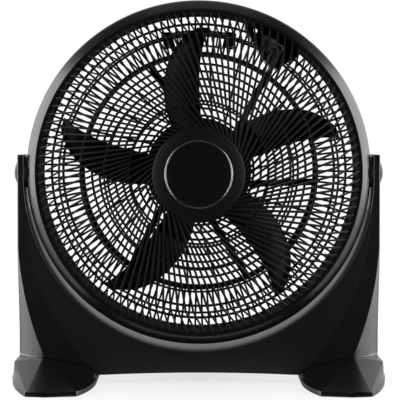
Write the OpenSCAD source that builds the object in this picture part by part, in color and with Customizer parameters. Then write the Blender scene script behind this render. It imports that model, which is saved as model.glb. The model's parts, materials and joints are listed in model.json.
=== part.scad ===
// Round floor fan. A drum tilts on two pivots in a U-shaped stand with two shoe feet.
// The drum holds a domed front grille with swirling ribs, a five-blade wheel, a motor on
// the rear grille, a control box with a speed knob, and a carry handle.

/* [Drum] */
// Height of the fan axis above the floor
axis_h = 324; // [316:1:340]
// Largest outside radius of the drum
drum_r = 268; // [266:0.5:270]
// Radius of the rounded front and rear edges of the drum
edge_rad = 19; // [18:0.5:20]
// Length of the straight middle of the drum's side
side_len = 24; // [20:1:28]
// Wall thickness of the moulded shells
wall = 3; // [2.6:0.1:3.4]
// Inside radius of the front opening
hole_r = 248; // [246.5:0.5:248.5]
// Inside radius of the duct wall behind the front opening
duct_r = 249.5; // [249:0.25:250.5]
// Radius where the rounded front edge meets the flat lip
lip_r = 252.3; // [251.8:0.1:254]
// Radius of the parting line between grille rim and drum
seam_r = 263; // [262:0.25:263.5]

/* [Front grille] */
// Rise of the front dome above the lip
front_rise = 50; // [46:1:54]
// Number of ribs that reach the hub, half of those at the rim
hub_ribs = 57; // [48:1:60]
// Radius of the circle that the ribs are tangent to
swirl_r = 50; // [44:1:56]
// Radius of the circle that the outermost stretch is tangent to
hook_r = 105; // [90:1:110]
// Turn of the whole rib pattern
rib_turn = 1.9; // [0:0.1:6.3]
// Thickness of a rib
rib_w = 2; // [1.8:0.1:2.4]
// Depth of a rib
rib_depth = 7; // [6:0.5:8]
// Radius of the hub
hub_r = 69; // [66:0.5:72]
// Depth of the hub's skirt
hub_skirt = 12; // [10:0.5:14]
// Radii of the four cross rings
cross_rings = [104.8, 142.4, 179.6, 213.7];
// Thickness of a cross ring
ring_w = 2; // [1.8:0.1:2.4]
// How far the cross rings stand back from the face of the ribs
ring_inset = 1.5; // [1:0.1:1.8]

/* [Badge] */
// Middle radius of the bright trim ring
trim_r = 49.6; // [47:0.2:52]
// Width of the trim ring
trim_w = 2.4; // [2:0.1:3]
// How far the trim ring stands proud
trim_proud = 0.8; // [0.5:0.1:1.2]
// Thickness of the badge plate
badge_t = 2; // [1.5:0.1:2.5]

/* [Rear grille] */
// Rise of the rear dome above its rim
rear_rise = 48; // [44:1:52]
// Number of ribs in the outer zone
rear_ribs = 138; // [120:6:144]
// Inner and outer radius of the broad band
band_r0 = 185.5; // [182:0.5:187]
// Width of the broad band
band_w = 8.5; // [7:0.5:10]
// Radii of the rings in the outer zone
outer_rings = [219.5, 237];
// Radius of the innermost ring
inner_ring_r = 91; // [90.5:0.5:92.5]
// Distance between inner rings
inner_pitch = 12; // [11.5:0.1:12.2]
// Number of inner rings
inner_rings = 8; // [6:1:8]
// Number of arms between motor plate and band
arms = 24; // [24:6:30]
// Width of the six broad arms
strut_w = 11; // [9:0.5:12]
// Radius of the circle that the arms are tangent to
arm_swirl = 26; // [20:1:30]
// Turn of the six broad arms
strut_turn = -27.5; // [-29:0.5:-26]
// Radius of the motor plate
plate_r = 87; // [84:0.5:90]
// Depth of the rear ribs
rear_depth = 5; // [4.5:0.1:6]

/* [Blade wheel] */
// Radius of the blade tips
tip_r = 225; // [215:1:232]
// Number of blades
blades = 5; // [4:1:6]
// Radius of the wheel's hub
cup_r = 62; // [60:0.5:66]
// Length of the wheel's hub
cup_len = 40; // [36:1:44]
// Blade thickness
blade_t = 2.4; // [2:0.1:3]
// Blade pitch at the hub
root_pitch = 38; // [34:1:42]
// Blade pitch at the tip
tip_pitch = 24; // [20:1:28]

/* [Motor] */
// Radius of the laminated stator
stator_r = 46; // [44:0.5:48]
// Length of the stator stack
stack_len = 25; // [22:1:28]
// Radius of the motor shaft
shaft_r = 4; // [3.5:0.1:4.5]
// Radial clearance of the shaft in its bearings
run_fit = 0.05; // [0.03:0.01:0.08]
// Air gap between rotor core and stator
air_gap = 0.5; // [0.4:0.05:0.8]

/* [Stand] */
// Gap between drum and arm at the pivots
side_gap = 2.5; // [2.3:0.1:3]
// How far the cradle's centre lies below the fan axis
cradle_drop = 6.3; // [5:0.1:8]
// Thickness of an arm
arm_t = 10.5; // [9:0.25:12]
// Depth of the stand panel at its foot, from front to back
panel_d = 64; // [62:1:70]
// Height of the arm tops above the fan axis
arm_top = 28; // [27:0.5:34]
// Height of the panel's lower edge above the floor
panel_z = 12.5; // [11:0.5:16]
// Rise of the arch in the panel's lower edge
arch = 3.3; // [2:0.1:5]
// Depth of a foot from toe to heel
foot_d = 230; // [220:1:240]
// Length of a foot from its inner to its outer end
foot_w = 133.5; // [128:0.5:138]
// Height of the foot at its crown
foot_h = 38; // [36:0.5:42]
// How far the rubber pads hold the feet off the floor
pad_h = 2; // [1.5:0.25:3]

/* [Pivots] */
// Radius of the pivot bolts
bolt_r = 4; // [3.5:0.25:5]
// Radius of the pivot caps
cap_r = 22.6; // [21:0.2:24]
// How far the pivot caps stand out from the arms
cap_h = 6; // [5:0.25:8]
// Radius of the friction washers
washer_r = 24; // [22:0.5:24.5]
// Running clearance of the bolts in the drum's inserts
bolt_fit = 0.08; // [0.05:0.01:0.1]

/* [Controls] */
// Angle of the control box around the fan axis
box_angle = 61; // [60:0.25:62]
// Radius at which the control box narrows to the cable channel
box_r0 = 206; // [203:1:209]
// Depth of the control box
box_d = 30; // [28:1:34]
// Radius of the speed knob
knob_r = 17; // [15:0.5:19]
// Height of the speed knob
knob_h = 15; // [12:0.5:18]
// Radius of the carry handle's grip
handle_r = 218.5; // [216:0.5:221]
// Width of the carry handle's grip
handle_w = 27; // [24:0.5:30]
// Half the angle that the carry handle spans
handle_half = 14; // [13:0.25:14.5]
// Room for fingers under the grip
finger_gap = 27; // [25:1:34]

/* [Hidden] */

body_black = [0.09, 0.09, 0.10];
soft_black = [0.06, 0.06, 0.065];
steel = [0.72, 0.73, 0.75];
zinc = [0.62, 0.63, 0.65];
copper = [0.72, 0.40, 0.20];

gap = 0.3;          // clearance between separate parts that move or may rub
seat = 0.05;        // clearance between parts that are fitted to each other
eps = 0.01;         // overshoot of a cut through a face

edge_c = drum_r - edge_rad;
back_z = -side_len - edge_rad;
seam_z = sqrt(edge_rad * edge_rad - (seam_r - edge_c) * (seam_r - edge_c));
lip_z = sqrt(edge_rad * edge_rad - (lip_r - edge_c) * (lip_r - edge_c)) - 1.2;
hub_z = lip_z + front_rise;
front_R = (hole_r * hole_r + front_rise * front_rise) / (2 * front_rise);
function front_z(r) = hub_z - front_R + sqrt(front_R * front_R - r * r);
function along(r, t) = sqrt(r * r - t * t);

flange_t = 3;
rear_rim_z = back_z - flange_t;
rear_R = (hole_r * hole_r + rear_rise * rear_rise) / (2 * rear_rise);
function rear_z(r) = rear_rim_z - rear_rise + rear_R - sqrt(rear_R * rear_R - r * r);

arm_x = drum_r + side_gap;
arm_out = arm_x + arm_t;
cradle_r = sqrt(arm_x * arm_x + cradle_drop * cradle_drop);
cradle_z = axis_h - cradle_drop;

// Draws in the drum's own frame: z points forward along the fan axis, y points up,
// and z is 0 where the rounded front edge begins. The pivots lie half a side behind it.
module fan() {
  translate([0, -side_len / 2, axis_h]) rotate([90, 0, 0]) children();
}

// Repeats children at equal angles about the fan axis.
module around(n, turn = 0) {
  for (i = [0 : n - 1]) rotate([0, 0, turn + i * 360 / n]) children();
}

module tube(r_out, r_in, h) {
  difference() {
    cylinder(h = h, r = r_out, $fn = 96);
    translate([0, 0, -1]) cylinder(h = h + 2, r = r_in, $fn = 96);
  }
}

// ---- front grille ----

// One straight rib, upright in the plane that touches a circle of radius t.
module rib_piece(r0, r1, t, steps) {
  front = [for (i = [0 : steps]) let (r = r0 + (r1 - r0) * i / steps) [along(r, t), front_z(r)]];
  back = [for (i = [steps : -1 : 0]) let (r = r0 + (r1 - r0) * i / steps)
    [along(r, t), front_z(r) - rib_depth]];
  translate([t - rib_w / 2, 0, 0]) rotate([90, 0, 90]) linear_extrude(rib_w)
    polygon(concat(front, back));
}

module grille_ring(r) {
  h = rib_depth - 2 * ring_inset;
  translate([0, 0, front_z(r) - rib_depth + ring_inset])
    tube(r + ring_w / 2, r - ring_w / 2, h);
}

module grille_ribs() {
  last = cross_rings[3];
  hook_turn = acos(swirl_r / last) - acos(hook_r / last);
  around(hub_ribs, rib_turn) {
    rib_piece(hub_r - wall / 2, last, swirl_r, 3);
    rotate([0, 0, 180 / hub_ribs]) rib_piece(cross_rings[0] - ring_w / 4, last, swirl_r, 2);
  }
  around(2 * hub_ribs, rib_turn + hook_turn) rib_piece(last - ring_w / 4, hole_r + wall / 2, hook_r, 1);
}

badge_z = hub_z - badge_t;
hub_edge_z = front_z(hub_r) + 0.8;

module grille_hub() {
  rotate_extrude($fn = 120) difference() {
    polygon([
      [0, badge_z - wall], [hub_r - wall, hub_edge_z - wall], [hub_r - wall, hub_edge_z - hub_skirt],
      [hub_r, hub_edge_z - hub_skirt], [hub_r, hub_edge_z - 1.2], [hub_r - 1.2, hub_edge_z],
      [trim_r + trim_w / 2 + 1, hub_z], [0, hub_z]
    ]);
    translate([-1, badge_z]) square([trim_r + trim_w / 2 + seat + 1, badge_t + 1]);
  }
}

// Front rim: rounded edge, stepped lip, inner wall and the tongue that plugs into the drum.
module grille_rim() {
  tongue_r = edge_c + sqrt(pow(edge_rad - wall, 2) - seam_z * seam_z) - gap;
  rotate_extrude($fn = 180) {
    intersection() {
      translate([edge_c, 0]) difference() {
        circle(edge_rad, $fn = 96);
        circle(edge_rad - wall, $fn = 96);
      }
      translate([lip_r, seam_z]) square([edge_rad, edge_rad]);
    }
    translate([hole_r, lip_z - wall]) square([lip_r - hole_r + 1, wall]);
    translate([hole_r, 3]) square([wall, lip_z - 3 - eps]);
    translate([tongue_r - wall, 6]) square([wall, seam_z - 3.8]);
  }
}

module front_grille() {
  color(body_black) fan() union() {
    grille_ribs();
    for (r = cross_rings) grille_ring(r);
    grille_hub();
    difference() {
      grille_rim();
      around(6, 30) clip_sector(clip_half + 0.1, 1);
    }
  }
}

// A stretch of the rounded front edge that straddles the seam, for a clip or its recess.
clip_half = 1.4;    // half the angle that a clip spans
clip_t = 1.5;       // depth of the clip's recess
clip_w = 9;         // width of a clip across the seam
module clip_sector(half, proud) {
  rotate([0, 0, -half]) rotate_extrude(angle = 2 * half, $fn = 96) intersection() {
    translate([edge_c, 0]) difference() {
      circle(edge_rad + proud, $fn = 96);
      circle(edge_rad - clip_t, $fn = 96);
    }
    translate([edge_c + clip_w / 2, seam_z - clip_w / 2 - 0.5]) square([edge_rad, clip_w]);
  }
}

module rim_clips() {
  color(soft_black) fan() around(6, 30) clip_sector(clip_half, -0.4);
}

module hub_badge() {
  color(soft_black) fan() translate([0, 0, badge_z])
    cylinder(h = badge_t + 0.3, r = trim_r - trim_w / 2, $fn = 120);
}

module badge_ring() {
  color(steel) fan() translate([0, 0, badge_z]) rotate_extrude($fn = 120)
    polygon([
      [trim_r - trim_w / 2, 0], [trim_r + trim_w / 2, 0], [trim_r + trim_w / 2, badge_t + 0.3],
      [trim_r + trim_w / 4, badge_t + trim_proud], [trim_r - trim_w / 4, badge_t + trim_proud],
      [trim_r - trim_w / 2, badge_t + 0.3]
    ]);
}

// ---- drum ----

module drum_outline(r) {
  translate([edge_c, 0]) circle(r, $fn = 96);
  translate([edge_c, -side_len]) square([r, side_len]);
  translate([edge_c, -side_len]) circle(r, $fn = 96);
}

ledge_r = 259;      // outside radius of the flat seat for the rear grille
duct_front = 2.5;   // height at which the duct wall meets the grille rim's inner wall
pad_out = 0.5;      // how far the pivot pads stand out from the drum's side
boss_r = 14;        // radius of the pivot bosses
insert_r = 7;       // outside radius of the threaded inserts
insert_len = 12;    // length of the threaded inserts
screw_r = 2;        // radius of the self-tapping screws
screw_bite = 9;     // how far a self-tapping screw reaches into its boss
rear_screw_r = 255.5; // radius on which the rear grille's screws lie

module pivot_axis() {
  translate([0, 0, -side_len / 2]) for (side = [0, 180]) rotate([0, 0, side])
    rotate([0, 90, 0]) children();
}

module drum_shell() {
  color(body_black) fan() difference() {
    union() {
      rotate_extrude($fn = 180) {
        intersection() {
          difference() {
            drum_outline(edge_rad);
            drum_outline(edge_rad - wall);
          }
          translate([duct_r, back_z]) square([edge_rad, seam_z - back_z]);
        }
        translate([duct_r, back_z]) square([ledge_r - duct_r, wall]);
        translate([duct_r, back_z]) square([wall, duct_front - back_z]);
      }
      pivot_axis() {
        translate([0, 0, duct_r + 1]) cylinder(h = drum_r - duct_r - 2, r = boss_r, $fn = 48);
        translate([0, 0, drum_r - 8]) cylinder(h = 8 + pad_out, r = washer_r, $fn = 64);
      }
      around(6, 30) translate([rear_screw_r, 0, back_z]) cylinder(h = 12, r = 5, $fn = 32);
    }
    rotate_extrude($fn = 180) translate([0, back_z - 1]) square([duct_r, side_len + 2 * edge_rad + 2]);
    pivot_axis() translate([0, 0, drum_r - insert_len - 2]) cylinder(h = insert_len + 4, r = insert_r, $fn = 48);
    around(6, 30) clip_sector(clip_half + 0.1, 1);
    around(6, 30) translate([rear_screw_r, 0, back_z - 1]) cylinder(h = 11, r = screw_r, $fn = 24);
  }
}

module pivot_inserts() {
  color("goldenrod") fan() pivot_axis() translate([0, 0, drum_r - insert_len - 2])
    tube(insert_r, bolt_r + bolt_fit, insert_len);
}

// ---- rear grille ----

strut_depth = 9;    // depth of the broad arms
plate_t = 3;        // thickness of the motor plate
rear_plug = 245;    // inside radius of the rear grille's rim
frame_z = -60;      // rear edge of the frame that carries the control box
band_r1 = band_r0 + band_w;
band_depth = rear_depth + 1.6; // depth of the broad band
plate_back = rear_z(plate_r);
plate_front = plate_back + plate_t;

// A straight bar behind the dome's surface, tangent to a circle of radius t.
module rear_bar(r0, r1, t, w, steps, z0, z1) {
  low = [for (i = [0 : steps]) let (r = r0 + (r1 - r0) * i / steps) [along(r, t), rear_z(r) + z0]];
  high = [for (i = [steps : -1 : 0]) let (r = r0 + (r1 - r0) * i / steps) [along(r, t), rear_z(r) + z1]];
  translate([t - w / 2, 0, 0]) rotate([90, 0, 90]) linear_extrude(w) polygon(concat(low, high));
}

module rear_ring(r) {
  translate([0, 0, rear_z(r) + 1]) tube(r + 1, r - 1, rear_depth - 2);
}

neck_low = 30;      // where the box's narrow end begins, below its middle
neck_high = 12;     // where the box's narrow end stops, below its middle
waist_x = 238;      // radius at which the box's sides bend
waist_y = 46;       // upper half width of the box at its bend
heel_y = 50;        // lower half width of the box at its bend
box_end = 256;      // radius from which the box has its full width
box_half = 56;      // half the full width of the box

// Plan of the control box: a wide end under the rim, narrowing to the cable channel.
module box_plan(inset = 0) {
  intersection() {
    circle(ledge_r - gap - inset, $fn = 180);
    polygon([
      [box_r0 + inset, -neck_low + inset], [box_r0 + inset, -neck_high - inset * 1.2],
      [waist_x + inset * 0.6, waist_y - inset], [box_end, box_half - inset], [drum_r + 12, box_half - inset],
      [drum_r + 12, -box_half + inset], [box_end, -box_half + inset], [waist_x + inset * 0.4, -heel_y + inset]
    ]);
  }
}

module at_box() {
  rotate([0, 0, box_angle]) children();
}

handle_pad_z = rear_z(handle_r - handle_w / 2) - 2.5;   // rear face of the handle's bosses
module at_handle_screws() {
  for (turn = [90 - handle_half, 90 + handle_half]) rotate([0, 0, turn])
    for (r = [handle_r - handle_w / 4, handle_r + handle_w / 4]) translate([r, 0, 0]) children();
}

module rear_grille() {
  color(body_black) fan() difference() {
    union() {
      difference() {
        union() {
          around(rear_ribs, 180 / rear_ribs) rear_bar(band_r1 - 1, hole_r - 1.5, 0, rib_w, 1, 0, rear_depth);
          for (r = outer_rings) rear_ring(r);
        }
        at_box() translate([0, 0, rear_z(0) - rear_depth]) linear_extrude(rear_rise + 3 * rear_depth) box_plan(1);
      }
      translate([0, 0, rear_z(band_r1)]) tube(band_r1, band_r0, band_depth);
      for (i = [0 : inner_rings - 1]) rear_ring(inner_ring_r + i * inner_pitch);
      around(arms, strut_turn) rear_bar(plate_r - 1, band_r0 + 1, arm_swirl, rib_w, 2, 0, rear_depth);
      around(6, strut_turn) rear_bar(plate_r - 1, band_r0 + 1, arm_swirl, strut_w, 4, 0, strut_depth);
      translate([0, 0, plate_back]) {
        cylinder(h = plate_t, r = plate_r, $fn = 120);
        tube(plate_r, plate_r - wall, strut_depth);
      }
      translate([0, 0, rear_rim_z]) tube(ledge_r - gap, rear_plug, flange_t);
      translate([0, 0, rear_rim_z]) tube(duct_r - gap, rear_plug, flange_t + 4);
      at_box() translate([0, 0, frame_z]) difference() {
        linear_extrude(rear_rim_z + 4 - frame_z) intersection() {
          box_plan();
          circle(rear_plug + 2, $fn = 180);
        }
        translate([0, 0, -1]) linear_extrude(40) box_plan(wall);
      }
      at_box() translate([0, 0, frame_z]) difference() {
        linear_extrude(rear_rim_z - frame_z) box_plan();
        translate([0, 0, -1]) linear_extrude(40) box_plan(wall);
      }
      at_handle_screws() translate([0, 0, handle_pad_z]) cylinder(h = rear_rim_z - handle_pad_z, r = 5.5, $fn = 32);
      at_box_screws() translate([0, 0, box_d]) cylinder(h = rear_rim_z - frame_z, r = 4.5, $fn = 32);
    }
    at_box_screws() translate([0, 0, box_d - 1]) cylinder(h = 12, r = screw_r, $fn = 24);
    at_box() translate([box_r0 - 2, 2 - neck_low, rear_z(box_r0) + strut_depth - 1])
      cube([wall + 5, neck_low - neck_high - 3, 20]);
    around(6, 30) translate([rear_screw_r, 0, rear_rim_z - 20]) cylinder(h = 30, r = screw_r + seat, $fn = 24);
    at_handle_screws() translate([0, 0, handle_pad_z - 1]) cylinder(h = 12, r = screw_r, $fn = 24);
    translate([0, 0, plate_back - 1]) cylinder(h = plate_t + 2, r = 13, $fn = 48);
    around(4, 45) translate([motor_screw_r, 0, plate_back - 1]) cylinder(h = plate_t + 2, r = screw_r + seat, $fn = 24);
  }
}

// A pan-head screw along z: the head lies below z = 0 and the shank above it.
module screw(len, r = screw_r) {
  translate([0, 0, -0.8 * r]) cylinder(h = 0.8 * r, r = 2 * r, $fn = 32);
  translate([0, 0, -eps]) cylinder(h = len + eps, r = r, $fn = 24);
}

module rear_screws() {
  color(zinc) fan() around(6, 30) translate([rear_screw_r, 0, rear_rim_z]) screw(flange_t + screw_bite);
}

// ---- carry handle ----

grip_front = rear_z(handle_r) - finger_gap;
grip_t = 14;        // thickness of the grip from front to back
foot_t = 3;         // thickness of the handle's feet
module handle_arc(r0, r1, half, z0, h) {
  translate([0, 0, z0]) rotate([0, 0, 90 - half]) rotate_extrude(angle = 2 * half, $fn = 180)
    translate([r0, 0]) square([r1 - r0, h]);
}

leg_t = 5;          // thickness of the handle's legs
leg_in = 9.5;       // how far the legs stand inside the handle's screws
grip_webs = 5;      // number of webs across the grip
module carry_handle() {
  r0 = handle_r - handle_w / 2;
  r1 = handle_r + handle_w / 2;
  half = handle_half - (leg_in - leg_t / 2) / handle_r * 180 / PI;
  back = grip_front - grip_t;
  color(body_black) fan() difference() {
    union() {
      handle_arc(r0, r0 + wall, half, back, grip_t);
      handle_arc(r1 - wall, r1, half, back, grip_t);
      for (i = [1 : grip_webs]) rotate([0, 0, 90 - half + 2 * half * i / (grip_webs + 1)])
        translate([r0 + 1, -1.5, back + 2]) cube([handle_w - 2, 3, grip_t - 4]);
      for (side = [-1, 1]) rotate([0, 0, 90 + side * handle_half]) {
        translate([r0, -side * leg_in - leg_t / 2, back]) cube([handle_w, leg_t, handle_pad_z - back]);
        translate([r0, -side * 3 - 9, handle_pad_z - foot_t]) cube([handle_w, 18, foot_t]);
      }
    }
    at_handle_screws() translate([0, 0, handle_pad_z - foot_t - 1]) cylinder(h = foot_t + 2, r = screw_r + seat, $fn = 24);
  }
}

module handle_screws() {
  color(zinc) fan() at_handle_screws() translate([0, 0, handle_pad_z - foot_t]) screw(foot_t + screw_bite);
}

// ---- controls ----

box_back = frame_z - box_d;
box_screw_x = 248;  // radius of the control box's screws
box_screw_y = 43;   // offset of the control box's screws from its middle
switch_x = 236;     // radius of the speed knob's spindle
switch_w = 24;      // width of the rotary switch's body
switch_d = 18;      // depth of the rotary switch's body
tab_pitch = 0.31 * switch_w; // distance between the switch's tabs
bush_r = 5;         // radius of the switch's threaded bush
spindle_r = 3;      // radius of the switch's spindle
dial_r = 20;        // radius of the dial plate
dial_t = 1.2;       // thickness of the dial plate
nut_t = 2.2;        // thickness of the switch's nut
gland_x = 248;      // radius of the cord gland's centre
gland_y = 30;       // offset of the cord gland from the box's middle
gland_r = 6;        // radius of the cord gland's neck
cord_r = 3.6;       // radius of the cord gland's bore

module at_switch() {
  at_box() translate([switch_x, 0, box_back]) children();
}

module at_box_screws() {
  at_box() for (y = [-box_screw_y, box_screw_y]) translate([box_screw_x, y, box_back]) children();
}

module control_box() {
  color(body_black) fan() difference() {
    union() {
      at_box() translate([0, 0, box_back]) difference() {
        linear_extrude(box_d) box_plan();
        translate([0, 0, wall]) linear_extrude(box_d) box_plan(wall);
      }
      at_box_screws() cylinder(h = box_d, r = 4.5, $fn = 32);
    }
    at_box_screws() translate([0, 0, -1]) cylinder(h = box_d + 2, r = screw_r + seat, $fn = 24);
    at_switch() translate([0, 0, -1]) cylinder(h = wall + 2, r = bush_r + seat, $fn = 32);
    at_box() translate([gland_x, gland_y, box_back - 1]) cylinder(h = wall + 2, r = gland_r + seat, $fn = 32);
  }
}

module dial_plate() {
  color([0.75, 0.75, 0.77]) fan() at_switch() translate([0, 0, -dial_t]) tube(dial_r, bush_r + seat, dial_t);
}

module rotary_switch() {
  color([0.35, 0.35, 0.37]) fan() at_switch() difference() {
    union() {
      translate([-switch_w / 2, -switch_w / 2, wall + seat]) cube([switch_w, switch_w, switch_d]);
      translate([0, 0, -dial_t - nut_t - 1]) cylinder(h = dial_t + nut_t + 2 + wall, r = bush_r, $fn = 32);
      for (i = [-1, 0, 1]) translate([i * tab_pitch - 2.5, -0.5, wall + switch_d - 1]) cube([5, 1, tab_h + 1 + seat]);
    }
    translate([0, 0, -10]) cylinder(h = 10 + wall + 12, r = spindle_r + run_fit, $fn = 32);
  }
}

module switch_nut() {
  color(zinc) fan() at_switch() translate([0, 0, -dial_t - nut_t]) difference() {
    cylinder(h = nut_t, r = 8, $fn = 6);
    translate([0, 0, -1]) cylinder(h = nut_t + 2, r = bush_r, $fn = 32);
  }
}

module box_screws() {
  color(zinc) fan() at_box_screws() screw(box_d + screw_bite);
}

module cord_gland() {
  color(soft_black) fan() at_box() translate([gland_x, gland_y, box_back]) difference() {
    union() {
      translate([0, 0, -3]) cylinder(h = 3, r = gland_r + 2.5, $fn = 48);
      translate([0, 0, -eps]) cylinder(h = wall + 2, r = gland_r, $fn = 48);
    }
    translate([0, 0, -4]) cylinder(h = wall + 10, r = cord_r, $fn = 32);
  }
}

module speed_knob() {
  color(body_black) fan() at_switch() translate([0, 0, -dial_t - gap - knob_h]) difference() {
    union() {
      rotate_extrude($fn = 72) polygon([[0, 0], [knob_r - 3, 0], [knob_r - 1.5, 1], [knob_r, knob_h], [0, knob_h]]);
      translate([-2, -knob_r + 2, -3]) cube([4, 2 * knob_r - 4, 4]);
    }
    translate([0, 0, knob_h - nut_t - 2.5]) cylinder(h = nut_t + 4, r = 11, $fn = 48);
    translate([0, 0, 3]) cylinder(h = knob_h, r = spindle_r, $fn = 32);
  }
}

module switch_spindle() {
  color(steel) fan() at_switch() translate([0, 0, -dial_t - gap - knob_h + 3])
    cylinder(h = knob_h + dial_t + gap + wall + 8, r = spindle_r, $fn = 32);
}

// A flat run of square lead through the given points.
module lead(points, t) {
  linear_extrude(t) for (i = [0 : len(points) - 2]) {
    step = points[i + 1] - points[i];
    translate(points[i]) rotate([0, 0, atan2(step[1], step[0])])
      translate([-t / 2, -t / 2]) square([norm(step) + t, t]);
  }
}

lead_r = 1.2;       // radius of an insulated lead
tab_h = 6;          // length of the switch's tabs
lead_y = -20;       // where the middle lead runs to the cable channel
lead_pitch = 3.2;   // distance between the leads
lead_z = box_back + wall + seat + switch_d + tab_h;
lead_end = max(box_r0 + wall, band_r1) + 4; // where the switch's leads stop, clear of box wall and band
module switch_leads() {
  color([0.55, 0.55, 0.57]) fan() at_box() for (i = [-1, 0, 1]) translate([0, 0, lead_z])
    lead([[switch_x + i * tab_pitch, 0], [switch_x + i * tab_pitch, lead_y - i * lead_pitch + 4],
      [switch_x + i * tab_pitch - 4, lead_y - i * lead_pitch], [lead_end, lead_y - i * lead_pitch]],
      2 * lead_r);
}

channel_r0 = plate_r + 4;   // radius at which the channel cover begins
channel_h = 6;              // height of the channel cover over its arm
module motor_leads() {
  color([0.30, 0.30, 0.32]) fan() rotate([0, 0, strut_turn]) for (i = [-1, 0, 1])
    translate([i * 2.6, 0, 0])
      rear_bar(stator_r + 3, box_r0 + wall + 3, arm_swirl, 2 * lead_r, 6, strut_depth + gap, strut_depth + gap + 2 * lead_r);
}

module channel_cover() {
  color(body_black) fan() rotate([0, 0, strut_turn]) difference() {
    rear_bar(channel_r0, band_r1, arm_swirl, strut_w, 2, strut_depth + gap, strut_depth + channel_h);
    rear_bar(channel_r0 - 5, band_r1 + 5, arm_swirl, strut_w - 2.4, 2, strut_depth - 2, strut_depth + channel_h - 1.2);
  }
}

// ---- motor ----

motor_screw_r = 36; // radius on which the motor's screws lie
shield_len = 12;    // length of an end shield
bolt_circle = stator_r - 4.5; // radius on which the motor's through bolts lie
through_r = 2;      // radius of the motor's through bolts
core_r = 25;        // radius of the rotor core
bearing_r = 9;      // outside radius of the bearings
bearing_len = 9;    // length of the bearings
shield_t = 3;       // wall of an end shield
stack_z = plate_front + shield_len;
front_shield_z = stack_z + stack_len;
motor_front = front_shield_z + shield_len;

// An end shield with its open side at z = shield_len and its bearing boss in the middle.
module end_shield() {
  difference() {
    union() {
      rotate_extrude($fn = 96) polygon([
        [bearing_r, 0], [stator_r - 6, 0], [stator_r, 5], [stator_r, shield_len],
        [stator_r - shield_t, shield_len], [stator_r - shield_t, 7], [stator_r - 8, shield_t],
        [bearing_r + 3, shield_t], [bearing_r + 3, bearing_len], [bearing_r, bearing_len]
      ]);
      around(4) translate([bolt_circle, 0, 4]) cylinder(h = shield_len - 4, r = 4, $fn = 32);
    }
    around(4) translate([bolt_circle, 0, -1]) cylinder(h = shield_len + 2, r = through_r + seat, $fn = 24);
    around(8, 22.5) translate([24, 0, -1]) cylinder(h = shield_t + 2, r = 5, $fn = 32);
  }
}

module rear_shield() {
  color(zinc) fan() translate([0, 0, plate_front]) difference() {
    end_shield();
    around(4, 45) translate([motor_screw_r, 0, -1]) cylinder(h = shield_t + 2, r = screw_r, $fn = 24);
  }
}

module front_shield() {
  color(zinc) fan() translate([0, 0, motor_front]) mirror([0, 0, 1]) end_shield();
}

module rear_bearing() {
  color("goldenrod") fan() translate([0, 0, plate_front]) tube(bearing_r, shaft_r + run_fit, bearing_len);
}

module front_bearing() {
  color("goldenrod") fan() translate([0, 0, motor_front - bearing_len])
    tube(bearing_r, shaft_r + run_fit, bearing_len);
}

slots = 12;         // number of slots in the stator
module motor_stator() {
  color([0.45, 0.45, 0.47]) fan() translate([0, 0, stack_z]) difference() {
    cylinder(h = stack_len, r = stator_r, $fn = 96);
    translate([0, 0, -1]) cylinder(h = stack_len + 2, r = core_r + air_gap, $fn = 96);
    around(slots, 15) translate([core_r + 6, 0, -1]) {
      cylinder(h = stack_len + 2, r = 3.2, $fn = 24);
      translate([-7, -0.8, 0]) cube([7, 1.6, stack_len + 2]);
    }
    around(4) translate([bolt_circle, 0, -1]) cylinder(h = stack_len + 2, r = through_r + seat, $fn = 24);
  }
}

coil_h = 6;         // height of the coil ends over the stack
module stator_windings() {
  color(copper) fan() {
    for (z = [stack_z - coil_h, stack_z + stack_len]) translate([0, 0, z])
      tube(stator_r - 10, core_r + 2.5, coil_h);
    around(slots, 15) translate([core_r + 6, 0, stack_z - eps])
      cylinder(h = stack_len + 2 * eps, r = 3, $fn = 24);
  }
}

module motor_bolts() {
  color(zinc) fan() around(4) translate([bolt_circle, 0, plate_front + 4])
    cylinder(h = motor_front - plate_front - 8, r = through_r, $fn = 24);
}

module motor_screws() {
  color(zinc) fan() around(4, 45) translate([motor_screw_r, 0, plate_back]) screw(plate_t + shield_t);
}

mcap_r = 26;        // radius of the motor's rear cap
mcap_flat = 16;     // radius of the flat on the motor's rear cap
mcap_h = 6;         // height of the motor's rear cap
mcap_wall = 2;      // wall thickness of the motor's rear cap
module motor_cap() {
  slope_r = (mcap_r + mcap_flat + 2) / 2;
  color(body_black) fan() translate([0, 0, plate_back]) {
    rotate_extrude($fn = 96) difference() {
      polygon([[0, -mcap_h], [mcap_flat, -mcap_h], [slope_r, -mcap_h + 2], [mcap_r, 0], [0, 0]]);
      polygon([[0, mcap_wall - mcap_h], [mcap_flat, mcap_wall - mcap_h], [slope_r, -1.5], [mcap_r - 3, 1], [0, 1]]);
    }
    tube(13 - seat, 11, plate_t);
    translate([0, 0, -1.5]) tube(mcap_r - 1.5, 11, 1.5);
  }
}

cap_len = 40;       // length of the run capacitor
cap_w = 26;         // width of the run capacitor
cap_x = 65;         // radius at which the run capacitor lies
cap_d = 18;         // thickness of the run capacitor
module at_capacitor() {
  rotate([0, 0, 235]) translate([cap_x, 0, plate_front]) children();
}

module run_capacitor() {
  color([0.8, 0.8, 0.8]) fan() at_capacitor() translate([-cap_w / 2, -cap_len / 2, 0]) {
    cube([cap_w, cap_len, cap_d]);
    for (y = [0.3, 0.65]) translate([cap_w / 2 - 3, y * cap_len, cap_d - eps]) cube([tab_h, 0.9, tab_h]);
  }
}

module capacitor_clip() {
  color(steel) fan() at_capacitor() difference() {
    translate([-cap_w / 2 - 1.5, -4, 0]) cube([cap_w + 3, 8, cap_d + 1.5]);
    translate([-cap_w / 2, -5, -1]) cube([cap_w, 10, cap_d + 1]);
  }
}

// ---- rotor ----

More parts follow.
